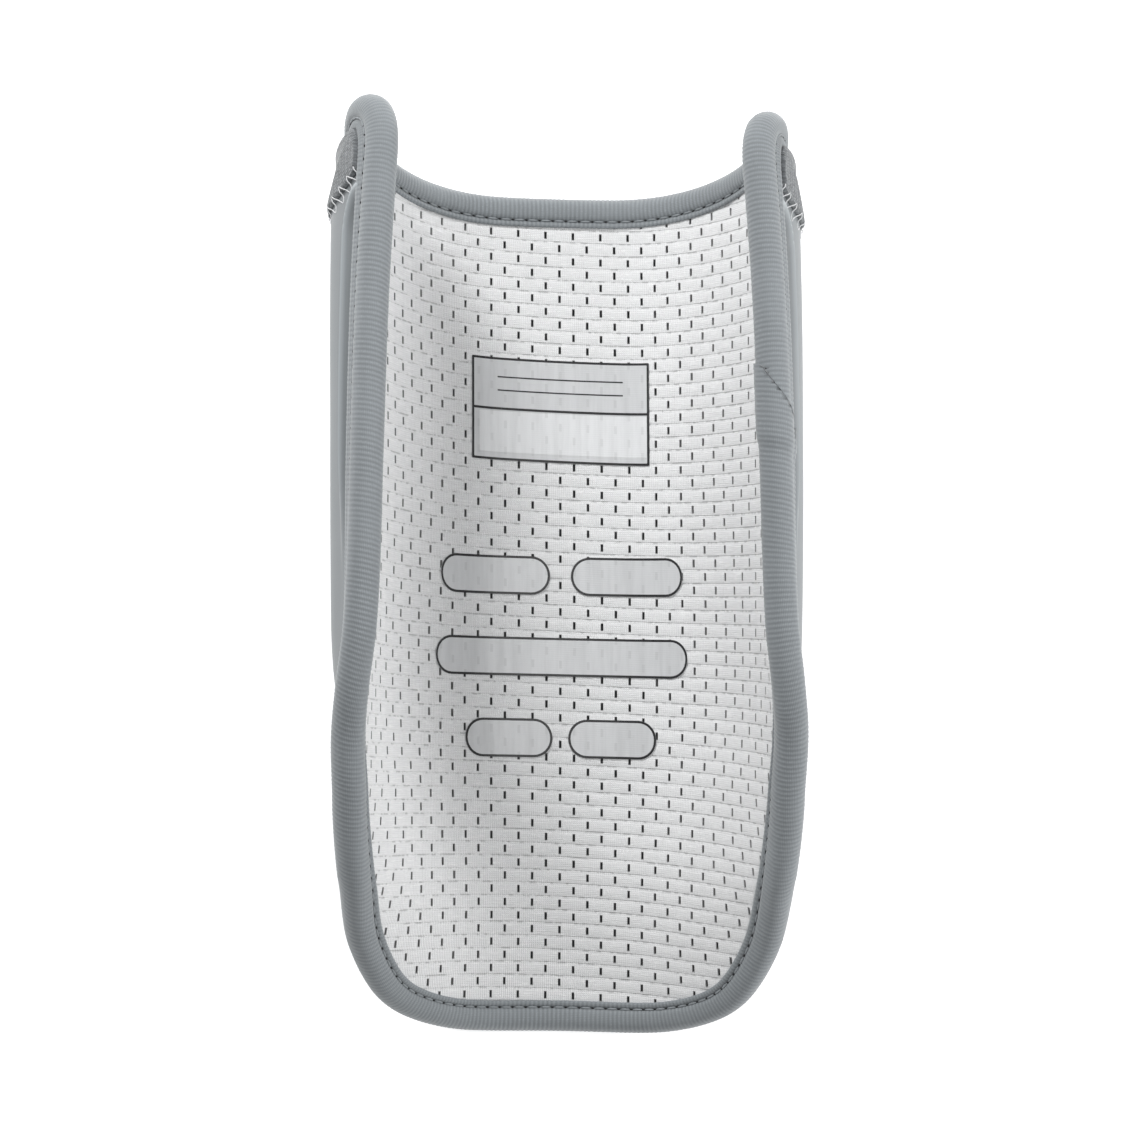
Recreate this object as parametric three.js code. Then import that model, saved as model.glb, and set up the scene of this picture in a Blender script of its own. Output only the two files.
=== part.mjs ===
// Elbow guard: a padded trough that lies on its back with the arm hollow open upwards.
// Millimetres, +Z up, +Y towards the upper arm, +X to the right when looking down into the hollow.
// Every layer follows one curved lining surface. A place on it is a pattern node: "across" is the
// length along the lining from the middle of the back, "along" the length up from the bottom edge.
import * as THREE from 'three';

// Overall form
const guardLength = 235;
const wrapHalfGirth = 90;
const saddleRadius = 760;
const layShear = 0.02;

// Layers, from the lining's face outwards
const liningThickness = 1;
const layerGap = 0.3;
const foamEdgeThickness = 2.3;
const foamMiddleThickness = 6.2;
const shellEdgeThickness = 1.3;
const shellMiddleThickness = 2.2;
const paddingRampWidth = 14;
const fillHalfWidth = 52;

// Rim of the wall, measured inwards from the outermost line of the guard
const wallInset = 4;
const bandInset = 10;
const foamNoseReach = 2.2;
const foamNoseDepths = [0.25, 0.75];

// Edge binding
const tapeThickness = 0.8;
const tapeClearance = 0.75;
const tapeNoseInset = 0.5;
const tapeShoulderInset = 2;
const tapeShoulderShare = 0.8;
const tapeCover = 9;
const stitchInset = 7.3;
const stitchDip = 0.25;
const lapLength = 20;
const lapRise = 0.5;

// Flat plate of the shell that the guard rests on
const plateHalfLength = 90;
const plateStep = 0.8;

// Bead and recess of the shell's wings
const beadRise = 0.8;
const recessDepth = 0.6;

// Knit band over the shell's top
const knitThickness = 1.1;
const knitClearance = 0.85;
const knitEdgeGap = 1.6;
const knitDepth = 20;
const knitSideRise = 9;
const knitSideSteepness = 6.7;
const knitEndHeight = 1.5;

// Printed films on the lining
const filmThickness = 0.4;
const filmClearance = 0.4;
const labelWidth = 47;
const labelHeight = 27;
const labelHeightUp = 162;
const labelTilt = 0.022;
const motifWidth = 68;
const motifHeight = 52;
const motifHeightUp = 98;
const motifBarHeight = 10;
const motifBarEndShare = 1 / 6;

// Fineness of the faceted surfaces
const normalStep = 0.5;
const smallestTurn = 1e-6;
const lengthSlack = 1e-9;
const outlineSamples = 720;
const knitColumns = 32;
const knitRows = 3;
const barColumns = 12;
const labelColumns = 10;
const labelRows = 2;

// Turn of the lining's section in degrees, at each sixth of the half girth out from the back
const sectionTable = [
  { along: 0.000, sixth1: 9, sixth2: 20, sixth3: 22, sixth4: 22, sixth5: 22, sixth6: 22 },
  { along: 0.113, sixth1: 13, sixth2: 33, sixth3: 34, sixth4: 34, sixth5: 32, sixth6: 30 },
  { along: 0.182, sixth1: 13, sixth2: 34, sixth3: 48, sixth4: 54, sixth5: 56, sixth6: 56 },
  { along: 0.270, sixth1: 7, sixth2: 33, sixth3: 54, sixth4: 65, sixth5: 70, sixth6: 70 },
  { along: 0.330, sixth1: 6, sixth2: 30, sixth3: 53, sixth4: 70, sixth5: 77, sixth6: 79 },
  { along: 0.375, sixth1: 5, sixth2: 29, sixth3: 52, sixth4: 72, sixth5: 84, sixth6: 90 },
  { along: 0.446, sixth1: 5, sixth2: 29, sixth3: 52, sixth4: 72, sixth5: 89, sixth6: 106 },
  { along: 0.612, sixth1: 6, sixth2: 34, sixth3: 51, sixth4: 68, sixth5: 90, sixth6: 127 },
  { along: 0.798, sixth1: 6, sixth2: 33, sixth3: 50, sixth4: 68, sixth5: 95, sixth6: 136 },
  { along: 1.000, sixth1: 6, sixth2: 33, sixth3: 50, sixth4: 70, sixth5: 102, sixth6: 150 },
];
const turnColumns = ['sixth1', 'sixth2', 'sixth3', 'sixth4', 'sixth5', 'sixth6'];

// Outermost line of the right half, as shares of the half girth and of the length
const outlineTable = [
  { across: 0.000, along: 0.000, corner: '' },
  { across: 0.267, along: 0.002, corner: '' },
  { across: 0.367, along: 0.009, corner: '' },
  { across: 0.444, along: 0.019, corner: '' },
  { across: 0.500, along: 0.030, corner: '' },
  { across: 0.550, along: 0.045, corner: '' },
  { across: 0.600, along: 0.068, corner: 'bottom' },
  { across: 0.656, along: 0.102, corner: '' },
  { across: 0.711, along: 0.145, corner: '' },
  { across: 0.761, along: 0.183, corner: '' },
  { across: 0.839, along: 0.255, corner: '' },
  { across: 0.907, along: 0.323, corner: '' },
  { across: 0.956, along: 0.366, corner: '' },
  { across: 0.990, along: 0.417, corner: '' },
  { across: 1.000, along: 0.481, corner: '' },
  { across: 1.000, along: 0.681, corner: '' },
  { across: 1.000, along: 0.868, corner: '' },
  { across: 0.997, along: 0.919, corner: '' },
  { across: 0.984, along: 0.941, corner: '' },
  { across: 0.956, along: 0.959, corner: 'ear' },
  { across: 0.913, along: 0.970, corner: '' },
  { across: 0.862, along: 0.974, corner: '' },
  { across: 0.811, along: 0.971, corner: '' },
  { across: 0.733, along: 0.961, corner: '' },
  { across: 0.656, along: 0.954, corner: '' },
  { across: 0.578, along: 0.949, corner: '' },
  { across: 0.500, along: 0.945, corner: '' },
  { across: 0.400, along: 0.941, corner: '' },
  { across: 0.222, along: 0.938, corner: '' },
  { across: 0.000, along: 0.938, corner: '' },
];

// Grid of the layers: shares from the middle to the side, and from the bottom to the top
const halfColumns = [0, 0.115, 0.225, 0.262, 0.33, 0.4, 0.5, 0.6, 0.7, 0.79, 0.87, 0.91, 0.945, 1];
const gridRows = [
  0, 0.045, 0.09, 0.145, 0.2, 0.24, 0.275, 0.31, 0.35, 0.4, 0.46, 0.54, 0.62, 0.7, 0.77, 0.84,
  0.9, 0.915, 0.955, 1,
];
const plateEdgeColumn = 0.225;
const plateFirstRow = 0.045;
const plateLastRow = 0.9;
const beadColumn = 0.91;
const columnSlack = 0.001;
const wingFirstRow = 0.4;
const wingLastRow = 0.9;

// Bars of the printed motif: middle and length as shares of its width, height as a share of its height
const motifBars = [
  { name: 'motif_bar_top_left', across: -0.26, along: 0.5, length: 0.44 },
  { name: 'motif_bar_top_right', across: 0.26, along: 0.5, length: 0.44 },
  { name: 'motif_bar_middle', across: 0, along: 0, length: 1 },
  { name: 'motif_bar_bottom_left', across: -0.2, along: -0.5, length: 0.34 },
  { name: 'motif_bar_bottom_right', across: 0.2, along: -0.5, length: 0.34 },
];

// Where the tape's free end lies on the right side, as a share of the length
const lapShare = 0.705;

// Sizes that follow from the ones above
const topMiddleShare = outlineTable[outlineTable.length - 1].along;
const topMiddle = topMiddleShare * guardLength;
const saddleCentre = topMiddle / 2;
const foamFace = liningThickness + layerGap;
const wallEdgeThickness = foamFace + foamEdgeThickness + layerGap + shellEdgeThickness;
const wallMiddleThickness = foamFace + foamMiddleThickness + layerGap + shellMiddleThickness;
const plateDrop = saddleDrop(saddleCentre + plateHalfLength);
const backHeight = wallMiddleThickness + plateStep + plateDrop;
const knitInset = tapeCover + knitEdgeGap;

function saddleDrop(along) {
  return saddleRadius * (1 - Math.cos((along - saddleCentre) / saddleRadius));
}

// Smooth value of one table column at a share of the length
function tableValue(column, share) {
  const last = sectionTable.length - 2;
  let index = sectionTable.findIndex((row) => row.along > share) - 1;
  index = index < 0 ? (share < 0 ? 0 : last) : index;
  const row = sectionTable[index];
  const next = sectionTable[index + 1];
  const before = sectionTable[Math.max(index - 1, 0)];
  const after = sectionTable[Math.min(index + 2, last + 1)];
  const span = next.along - row.along;
  const place = THREE.MathUtils.clamp((share - row.along) / span, 0, 1);
  const slopeIn = ((next[column] - before[column]) / (next.along - before.along)) * span;
  const slopeOut = ((after[column] - row[column]) / (after.along - row.along)) * span;
  const square = place * place;
  const cube = square * place;
  return (2 * cube - 3 * square + 1) * row[column] + (cube - 2 * square + place) * slopeIn
    + (3 * square - 2 * cube) * next[column] + (cube - square) * slopeOut;
}

// Step along an arc whose direction turns evenly from one angle to another
function arcStep(startTurn, endTurn, length) {
  const turn = endTurn - startTurn;
  if (Math.abs(turn) < smallestTurn) {
    return { x: length * Math.cos(startTurn), z: length * Math.sin(startTurn) };
  }
  const radius = length / turn;
  return {
    x: radius * (Math.sin(endTurn) - Math.sin(startTurn)),
    z: radius * (Math.cos(startTurn) - Math.cos(endTurn)),
  };
}

// Point of the lining's cross-section, as an arc for each sixth of the half girth
function sectionPoint(across, share) {
  const sixth = wrapHalfGirth / turnColumns.length;
  const point = { x: 0, z: 0 };
  let left = Math.abs(across);
  let turn = 0;
  for (const column of turnColumns) {
    const fullTurn = THREE.MathUtils.degToRad(tableValue(column, share));
    const length = Math.min(sixth, left);
    const endTurn = turn + (fullTurn - turn) * (length / sixth);
    const step = arcStep(turn, endTurn, length);
    point.x += step.x;
    point.z += step.z;
    turn = fullTurn;
    left -= length;
    if (left <= 0) break;
  }
  return { x: Math.sign(across) * point.x, z: point.z };
}

function liningPoint(across, along) {
  const lengthwise = along - layShear * across;
  const section = sectionPoint(across, lengthwise / guardLength);
  const tilt = (lengthwise - saddleCentre) / saddleRadius;
  const radius = saddleRadius + section.z;
  return new THREE.Vector3(
    section.x,
    radius * Math.sin(tilt),
    radius * Math.cos(tilt) - saddleRadius + backHeight,
  );
}

// Point at an offset from the lining's face, outwards away from the hollow
function wallPoint(node, offset) {
  const point = liningPoint(node.across, node.along);
  const sideways = liningPoint(node.across + normalStep, node.along)
    .sub(liningPoint(node.across - normalStep, node.along));
  const lengthways = liningPoint(node.across, node.along + normalStep)
    .sub(liningPoint(node.across, node.along - normalStep));
  const inward = sideways.cross(lengthways).normalize();
  return point.addScaledVector(inward, -offset);
}

// Outermost line as a closed curve in the pattern plane, counter-clockwise from the bottom middle
function outlineCurve() {
  const right = outlineTable.map((row) => new THREE.Vector3(
    row.across * wrapHalfGirth,
    row.along * guardLength,
    0,
  ));
  const left = right.slice(1, -1).reverse().map((point) => new THREE.Vector3(-point.x, point.y, 0));
  return new THREE.CatmullRomCurve3([...right, ...left], true, 'centripetal');
}

const outline = outlineCurve();
const outlinePolygon = outline.getPoints(outlineSamples);

// Curve parameters of the four corners between the bottom, right, top and left runs
function cornerParameters() {
  const count = outline.points.length;
  const bottom = outlineTable.findIndex((row) => row.corner === 'bottom') / count;
  const ear = outlineTable.findIndex((row) => row.corner === 'ear') / count;
  return { bottom, ear };
}

// Nodes of one run of the outline at given shares of its length, each with its outward direction
function runNodes(start, end, shares) {
  const samples = Array.from({ length: outlineSamples + 1 }, (unused, index) => {
    const parameter = start + ((end - start) * index) / outlineSamples;
    return outline.getPoint(((parameter % 1) + 1) % 1);
  });
  const walked = [0];
  for (let index = 1; index < samples.length; index += 1) {
    walked.push(walked[index - 1] + samples[index].distanceTo(samples[index - 1]));
  }
  return shares.map((share) => {
    const target = share * walked[outlineSamples];
    const found = walked.findIndex((length) => length >= target - lengthSlack);
    const index = Math.max(found, 1);
    const part = (target - walked[index - 1]) / (walked[index] - walked[index - 1]);
    const place = samples[index - 1].clone().lerp(samples[index], part);
    const parameter = start + ((end - start) * (index - 1 + part)) / outlineSamples;
    const tangent = outline.getTangent(((parameter % 1) + 1) % 1);
    return { across: place.x, along: place.y, outAcross: tangent.y, outAlong: -tangent.x };
  });
}

// The same node moved inwards by a distance in the pattern plane
function insetNode(node, distance) {
  return {
    ...node,
    across: node.across - distance * node.outAcross,
    along: node.along - distance * node.outAlong,
  };
}

const columnShares = [...halfColumns.slice(1).reverse().map((share) => -share), ...halfColumns]
  .map((share) => (share + 1) / 2);
const corners = cornerParameters();
const runs = {
  bottom: runNodes(-corners.bottom, corners.bottom, columnShares),
  right: runNodes(corners.bottom, corners.ear, gridRows),
  top: runNodes(corners.ear, 1 - corners.ear, columnShares).reverse(),
  left: runNodes(1 - corners.ear, 1 - corners.bottom, gridRows.map((share) => 1 - share).reverse())
    .reverse(),
};

// Nodes once around the rim, counter-clockwise
const rimNodes = [
  ...runs.bottom.slice(0, -1),
  ...runs.right.slice(0, -1),
  ...[...runs.top].reverse().slice(0, -1),
  ...[...runs.left].reverse().slice(0, -1),
];

function blend(first, second, share) {
  return first + (second - first) * share;
}

// Node of the patch that fills the inset outline, blended from its four runs
function patchNode(column, row) {
  const columnShare = columnShares[column];
  const rowShare = gridRows[row];
  const lastColumn = columnShares.length - 1;
  const lastRow = gridRows.length - 1;
  const edge = (run, index) => insetNode(run[index], bandInset);
  const node = { column: 2 * columnShare - 1, row: rowShare };
  for (const axis of ['across', 'along']) {
    const lengthways = blend(edge(runs.bottom, column)[axis], edge(runs.top, column)[axis], rowShare);
    const sideways = blend(edge(runs.left, row)[axis], edge(runs.right, row)[axis], columnShare);
    const bottom = blend(edge(runs.bottom, 0)[axis], edge(runs.bottom, lastColumn)[axis], columnShare);
    const top = blend(edge(runs.top, 0)[axis], edge(runs.top, lastColumn)[axis], columnShare);
    node[axis] = lengthways + sideways - blend(bottom, top, rowShare);
    if (row === 0 || row === lastRow) node[axis] = lengthways;
    if (column === 0 || column === lastColumn) node[axis] = sideways;
  }
  return node;
}

// Triangles of a grid of nodes, row by row, and the node numbers once around its border
function gridMesh(rows) {
  const width = rows[0].length;
  const height = rows.length;
  const triangles = [];
  for (let row = 0; row < height - 1; row += 1) {
    for (let column = 0; column < width - 1; column += 1) {
      const corner = row * width + column;
      triangles.push([corner, corner + 1, corner + width + 1]);
      triangles.push([corner, corner + width + 1, corner + width]);
    }
  }
  const border = [];
  for (let column = 0; column < width - 1; column += 1) border.push(column);
  for (let row = 0; row < height - 1; row += 1) border.push(row * width + width - 1);
  for (let column = width - 1; column > 0; column -= 1) border.push((height - 1) * width + column);
  for (let row = height - 1; row > 0; row -= 1) border.push(row * width);
  return { nodes: rows.flat(), triangles, border };
}

// Mesh of the whole wall in the pattern plane: the patch, then a band out to the wall's rim
function wallMesh() {
  const rows = gridRows.map((unusedShare, row) => columnShares.map(
    (unusedColumn, column) => patchNode(column, row),
  ));
  const mesh = gridMesh(rows);
  const first = mesh.nodes.length;
  const count = rimNodes.length;
  rimNodes.forEach((rimNode, index) => {
    const patch = mesh.nodes[mesh.border[index]];
    mesh.nodes.push({ ...insetNode(rimNode, wallInset), column: patch.column, row: patch.row });
    const next = (index + 1) % count;
    mesh.triangles.push([mesh.border[index], first + index, first + next]);
    mesh.triangles.push([mesh.border[index], first + next, mesh.border[next]]);
  });
  mesh.border = rimNodes.map((unused, index) => first + index);
  return mesh;
}

function geometryFrom(points, triangles) {
  const geometry = new THREE.BufferGeometry();
  const positions = points.flatMap((point) => [point.x, point.y, point.z]);
  geometry.setAttribute('position', new THREE.Float32BufferAttribute(positions, 3));
  geometry.setIndex(triangles.flat());
  geometry.computeVertexNormals();
  return geometry;
}

// Closed layer between two faces, with optional rings of points that round its rim
function layerGeometry(mesh, innerPoint, outerPoint, noseRings = []) {
  const count = mesh.nodes.length;
  const points = [...mesh.nodes.map(innerPoint), ...mesh.nodes.map(outerPoint)];
  const triangles = mesh.triangles.flatMap(([a, b, c]) => [[a, b, c], [count + a, count + c, count + b]]);
  const rings = [mesh.border];
  for (const ring of noseRings) {
    rings.push(mesh.border.map((unused, index) => points.length + index));
    points.push(...ring);
  }
  rings.push(mesh.border.map((index) => count + index));
  for (let level = 0; level < rings.length - 1; level += 1) {
    triangles.push(...ringTriangles(rings[level], rings[level + 1]));
  }
  return geometryFrom(points, triangles);
}

// Band of triangles that joins two closed rings of equal count
function ringTriangles(ring, nextRing) {
  return ring.flatMap((start, index) => {
    const following = (index + 1) % ring.length;
    return [
      [start, nextRing[index], nextRing[following]],
      [start, nextRing[following], ring[following]],
    ];
  });
}

function edgeDistance(node) {
  const place = new THREE.Vector3(node.across, node.along, 0);
  return Math.min(...outlinePolygon.map((point) => point.distanceTo(place)));
}

// Share of the full padding that is reached this far in from the rim
function paddingShare(node) {
  return THREE.MathUtils.smoothstep(edgeDistance(node) - bandInset, 0, paddingRampWidth);
}

// Extra padding along the back that makes the shell's back straight under the arched lining
function backFill(node) {
  const spare = plateDrop - saddleDrop(node.along - layShear * node.across);
  const fade = Math.min(Math.abs(node.across) / fillHalfWidth, 1);
  const middleShare = (1 + Math.cos(Math.PI * fade)) / 2;
  return Math.max(spare, 0) * middleShare * paddingShare(node);
}

function foamBack(node) {
  return foamFace + blend(foamEdgeThickness, foamMiddleThickness, paddingShare(node)) + backFill(node);
}

function shellFace(node) {
  return foamBack(node) + layerGap;
}

// Bead that frames each wing, and the recess between it and the free edge
function wingRelief(node) {
  const side = Math.abs(node.column);
  const covered = edgeDistance(node) < tapeCover;
  if (covered || node.row < wingFirstRow || node.row > wingLastRow) return 0;
  if (side > beadColumn + columnSlack) return node.row < wingLastRow ? -recessDepth : 0;
  return side > beadColumn - columnSlack ? beadRise : 0;
}

function shellBack(node) {
  const thickness = blend(shellEdgeThickness, shellMiddleThickness, paddingShare(node));
  return shellFace(node) + thickness + wingRelief(node);
}

function onPlate(node) {
  const across = Math.abs(node.column) <= plateEdgeColumn + columnSlack;
  return across && node.row >= plateFirstRow && node.row <= plateLastRow;
}

function shellOuterPoint(node) {
  const point = wallPoint(node, shellBack(node));
  if (onPlate(node)) point.z = 0;
  return point;
}

function foamNose(mesh, depthShare) {
  return mesh.border.map((index) => {
    const node = insetNode(mesh.nodes[index], -foamNoseReach);
    return wallPoint(node, foamFace + depthShare * foamEdgeThickness);
  });
}

// Extra tape thickness just below the free end of the tape on the right side
function lapThickness(node) {
  const below = lapShare * guardLength - node.along;
  const onLap = node.across > 0 && below >= 0 && below <= lapLength;
  return onLap ? lapRise : 0;
}

// Closed section of the tape folded round the rim: inset from the outermost line, and offset
function tapeSection(extra) {
  const inside = -tapeClearance;
  const outside = wallEdgeThickness + tapeClearance;
  const cover = tapeThickness + extra;
  const noseInset = wallInset - foamNoseReach - tapeClearance;
  const quarter = wallEdgeThickness / 4;
  return [
    { inset: tapeCover, offset: inside },
    { inset: wallInset - tapeClearance, offset: inside },
    { inset: noseInset, offset: quarter },
    { inset: noseInset, offset: wallEdgeThickness - quarter },
    { inset: wallInset - tapeClearance, offset: outside },
    { inset: tapeCover, offset: outside },
    { inset: tapeCover, offset: outside + cover },
    { inset: stitchInset, offset: outside + cover - stitchDip },
    { inset: wallInset + tapeThickness, offset: outside + cover },
    { inset: tapeShoulderInset, offset: outside + cover * tapeShoulderShare },
    { inset: tapeNoseInset, offset: wallEdgeThickness - quarter },
    { inset: tapeNoseInset, offset: quarter },
    { inset: tapeShoulderInset, offset: inside - cover * tapeShoulderShare },
    { inset: wallInset + tapeThickness, offset: inside - cover },
    { inset: stitchInset, offset: inside - cover + stitchDip },
    { inset: tapeCover, offset: inside - cover },
  ];
}

function bindingGeometry() {
  const points = [];
  const sections = rimNodes.map((node) => {
    const section = tapeSection(lapThickness(node));
    const first = points.length;
    section.forEach((place) => points.push(wallPoint(insetNode(node, place.inset), place.offset)));
    return section.map((unused, index) => first + index);
  });
  const triangles = sections.flatMap(
    (section, index) => ringTriangles(section, sections[(index + 1) % sections.length]),
  );
  return geometryFrom(points, triangles);
}

// Lower edge of the knit band: level over the back, rising towards the free edges
function knitLowerEdge(across) {
  const side = Math.abs(across) / (wrapHalfGirth - knitInset);
  return topMiddle - knitDepth + knitSideRise * side ** knitSideSteepness;
}

// Upper edge of the knit band: the inset outline from one free edge over both ears to the other
function knitUpperEdge() {
  const shares = Array.from({ length: outlineSamples + 1 }, (unused, index) => index / outlineSamples);
  const sideEnd = wrapHalfGirth - knitInset;
  const lowest = knitLowerEdge(sideEnd) + knitEndHeight;
  const inset = runNodes(corners.bottom, 1 - corners.bottom, shares)
    .map((node) => insetNode(node, knitInset));
  const first = inset.findIndex((node) => node.along >= lowest);
  const last = inset.findLastIndex((node) => node.along >= lowest);
  const around = inset.slice(first, last + 1);
  return Array.from({ length: knitColumns + 1 }, (unused, column) => (
    around[Math.round((column / knitColumns) * (around.length - 1))]
  ));
}

function knitGeometry() {
  const upper = knitUpperEdge();
  const sideEnd = wrapHalfGirth - knitInset;
  const rows = Array.from({ length: knitRows + 1 }, (unused, row) => upper.map((top, column) => {
    const across = sideEnd * (1 - (2 * column) / knitColumns);
    const share = row / knitRows;
    return {
      across: blend(top.across, across, share),
      along: blend(top.along, knitLowerEdge(across), share),
    };
  }));
  const face = (node) => shellFace(node)
    + blend(shellEdgeThickness, shellMiddleThickness, paddingShare(node)) + knitClearance;
  return layerGeometry(
    gridMesh(rows),
    (node) => wallPoint(node, face(node)),
    (node) => wallPoint(node, face(node) + knitThickness),
  );
}

function filmGeometry(rows) {
  return layerGeometry(
    gridMesh(rows),
    (node) => wallPoint(node, -filmClearance - filmThickness),
    (node) => wallPoint(node, -filmClearance),
  );
}

function labelGeometry() {
  const rows = Array.from({ length: labelRows + 1 }, (unusedRow, row) => (
    Array.from({ length: labelColumns + 1 }, (unusedColumn, column) => {
      const across = labelWidth * (column / labelColumns - 0.5);
      return {
        across,
        along: labelHeightUp + labelHeight * (row / labelRows - 0.5) - labelTilt * across,
      };
    })
  ));
  return filmGeometry(rows);
}

// Bar with round ends, as a strip whose half height follows a quarter circle at each end
function barGeometry(bar) {
  const radius = motifBarHeight / 2;
  const halfLength = (bar.length * motifWidth) / 2;
  const middle = bar.across * motifWidth;
  const level = motifHeightUp + bar.along * (motifHeight - motifBarHeight);
  const stations = Array.from({ length: barColumns + 1 }, (unused, column) => {
    const turn = Math.PI * (column / barColumns - 0.5);
    const outer = halfLength - radius;
    const place = Math.sign(turn) * outer + radius * Math.sin(turn);
    return { place, half: radius * Math.max(Math.cos(turn), motifBarEndShare) };
  });
  const rows = [-1, 1].map((side) => stations.map((station) => ({
    across: middle + station.place,
    along: level + side * station.half,
  })));
  return filmGeometry(rows);
}

const looks = {
  lining: { color: 0xeeeeee, roughness: 0.9, metalness: 0 },
  foam: { color: 0x55595c, roughness: 0.95, metalness: 0 },
  shell: { color: 0xa4a9ac, roughness: 0.45, metalness: 0 },
  binding: { color: 0x93999c, roughness: 0.85, metalness: 0 },
  knit: { color: 0x8c9194, roughness: 0.9, metalness: 0 },
  film: { color: 0xdfe1e2, roughness: 0.3, metalness: 0 },
};

const group = new THREE.Group();

function addPiece(name, geometry, look) {
  const mesh = new THREE.Mesh(geometry, new THREE.MeshStandardMaterial(look));
  mesh.name = name;
  group.add(mesh);
}

const wall = wallMesh();
addPiece(
  'mesh_lining',
  layerGeometry(wall, (node) => wallPoint(node, 0), (node) => wallPoint(node, liningThickness)),
  looks.lining,
);
addPiece(
  'foam_pad',
  layerGeometry(
    wall,
    (node) => wallPoint(node, foamFace),
    (node) => wallPoint(node, foamBack(node)),
    foamNoseDepths.map((depthShare) => foamNose(wall, depthShare)),
  ),
  looks.foam,
);
addPiece(
  'outer_shell',
  layerGeometry(wall, (node) => wallPoint(node, shellFace(node)), shellOuterPoint),
  looks.shell,
);
addPiece('edge_binding', bindingGeometry(), looks.binding);
addPiece('knit_band', knitGeometry(), looks.knit);
addPiece('label_film', labelGeometry(), looks.film);
for (const bar of motifBars) addPiece(bar.name, barGeometry(bar), looks.film);

// The origin is the bottom centre of the whole guard
const size = new THREE.Box3().setFromObject(group);
const centre = size.getCenter(new THREE.Vector3());
for (const mesh of group.children) mesh.position.set(-centre.x, -centre.y, -size.min.z);

export default group;
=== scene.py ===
import math

import bmesh
import bpy
import numpy as np
from mathutils import Matrix, Vector, geometry, kdtree


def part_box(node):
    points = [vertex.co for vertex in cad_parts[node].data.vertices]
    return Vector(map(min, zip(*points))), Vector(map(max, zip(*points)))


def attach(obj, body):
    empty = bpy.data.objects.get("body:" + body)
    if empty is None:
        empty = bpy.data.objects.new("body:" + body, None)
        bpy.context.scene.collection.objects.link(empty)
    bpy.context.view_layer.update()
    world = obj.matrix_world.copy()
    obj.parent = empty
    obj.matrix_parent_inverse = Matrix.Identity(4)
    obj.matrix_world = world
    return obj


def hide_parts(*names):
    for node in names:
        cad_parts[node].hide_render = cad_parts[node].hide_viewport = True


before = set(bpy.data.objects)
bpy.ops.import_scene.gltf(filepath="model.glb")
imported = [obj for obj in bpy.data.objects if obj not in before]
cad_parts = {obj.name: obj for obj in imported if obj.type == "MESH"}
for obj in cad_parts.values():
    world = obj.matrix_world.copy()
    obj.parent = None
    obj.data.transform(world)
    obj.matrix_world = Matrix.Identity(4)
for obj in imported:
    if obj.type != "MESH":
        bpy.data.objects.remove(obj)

bl_info = {
    "name": "Elbow Guard Looks",
    "version": (1, 0, 0),
    "blender": (4, 5, 0),
    "location": "3D View > Sidebar > Elbow Guard",
    "description": "Dresses the packed elbow guard: lining, foam, shell, knit, tape, stitches and prints",
    "category": "Mesh",
}

MM = 0.001
ROOT_BODY = "root"

# Form of the lining's face: an arched back, and a section that turns by a table
GUARD_LENGTH = 235 * MM
HALF_GIRTH = 90 * MM
SADDLE_RADIUS = 760 * MM
LAY_SHEAR = 0.02
NORMAL_STEP = 0.5 * MM

# Layers of the wall, from the lining's face outwards
LINING_THICKNESS = 1 * MM
LAYER_GAP = 0.3 * MM
FOAM_EDGE = 2.3 * MM
FOAM_MIDDLE = 6.2 * MM
SHELL_EDGE = 1.3 * MM
SHELL_MIDDLE = 2.2 * MM
RAMP_WIDTH = 14 * MM
FILL_HALF_WIDTH = 52 * MM

# Rim of the wall, inwards from the guard's outermost line
WALL_INSET = 4 * MM
BAND_INSET = 10 * MM
FOAM_INSET = 2.4 * MM
TAPE_COVER = 9 * MM
STITCH_INSET = 7.3 * MM
OUTER_STITCH_INSET = 6.5 * MM
LAP_SHARE = 0.705

# Flat plate of the shell that the guard rests on
PLATE_HALF_LENGTH = 90 * MM
PLATE_STEP = 0.8 * MM
PLATE_HALF_WIDTH = 18 * MM
PLATE_START = 20 * MM
PLATE_END = 190 * MM
PLATE_SLOPE = 2.5 * MM

# Knit band over the shell's top
KNIT_INSET = 9.1 * MM
KNIT_DEPTH = 20 * MM
KNIT_SIDE_RISE = 9 * MM
KNIT_SIDE_STEEPNESS = 6.7
KNIT_END_HEIGHT = 1.5 * MM

# How far the knit stands off the shell, and where its shoulders stand out
KNIT_STANDOFF = 0.15 * MM
KNIT_EDGE_SHARE = 0.45
SHOULDER_ACROSS = 66 * MM
SHOULDER_SPREAD = 11 * MM
SHOULDER_END = 20 * MM
SHOULDER_FADE = 0.35

# White zigzag between the knit and the shell
ZIGZAG_RADIUS = 0.15 * MM
ZIGZAG_SAMPLES = 2000
ZIGZAG_PARTS = 6
ZIGZAG_ROUNDING = 0.25
ZIGZAG_BELOW_EDGE = 0.7
ZIGZAG_UNEVENNESS = 0.16
ZIGZAG_SINK = 0.2 * MM
TUBE_SIDES = 6

# Bead of each wing and the panel sunk beside it
BEAD_TOP = 205 * MM
BEAD_BEND = 194 * MM
BEAD_FADE_HIGH = 150 * MM
BEAD_FADE_LOW = 112 * MM
PANEL_EDGE_START = 1.6
PANEL_EDGE_END = 2.8

# Steps of the shell's grid in millimetres: coarse on the back, fine on the wings and round the bead's bend
SHELL_STEP = 1.6
WING_STEP = 0.4
WING_START = 60
BEND_STEP = 0.5
BEND_START = 188
BEND_END = 210

# Foam's grid, and how its rim is rolled thinner
FOAM_STEP = 2.4 * MM
FOAM_ROLL = 2 * MM
FOAM_SQUEEZE = 0.35

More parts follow.
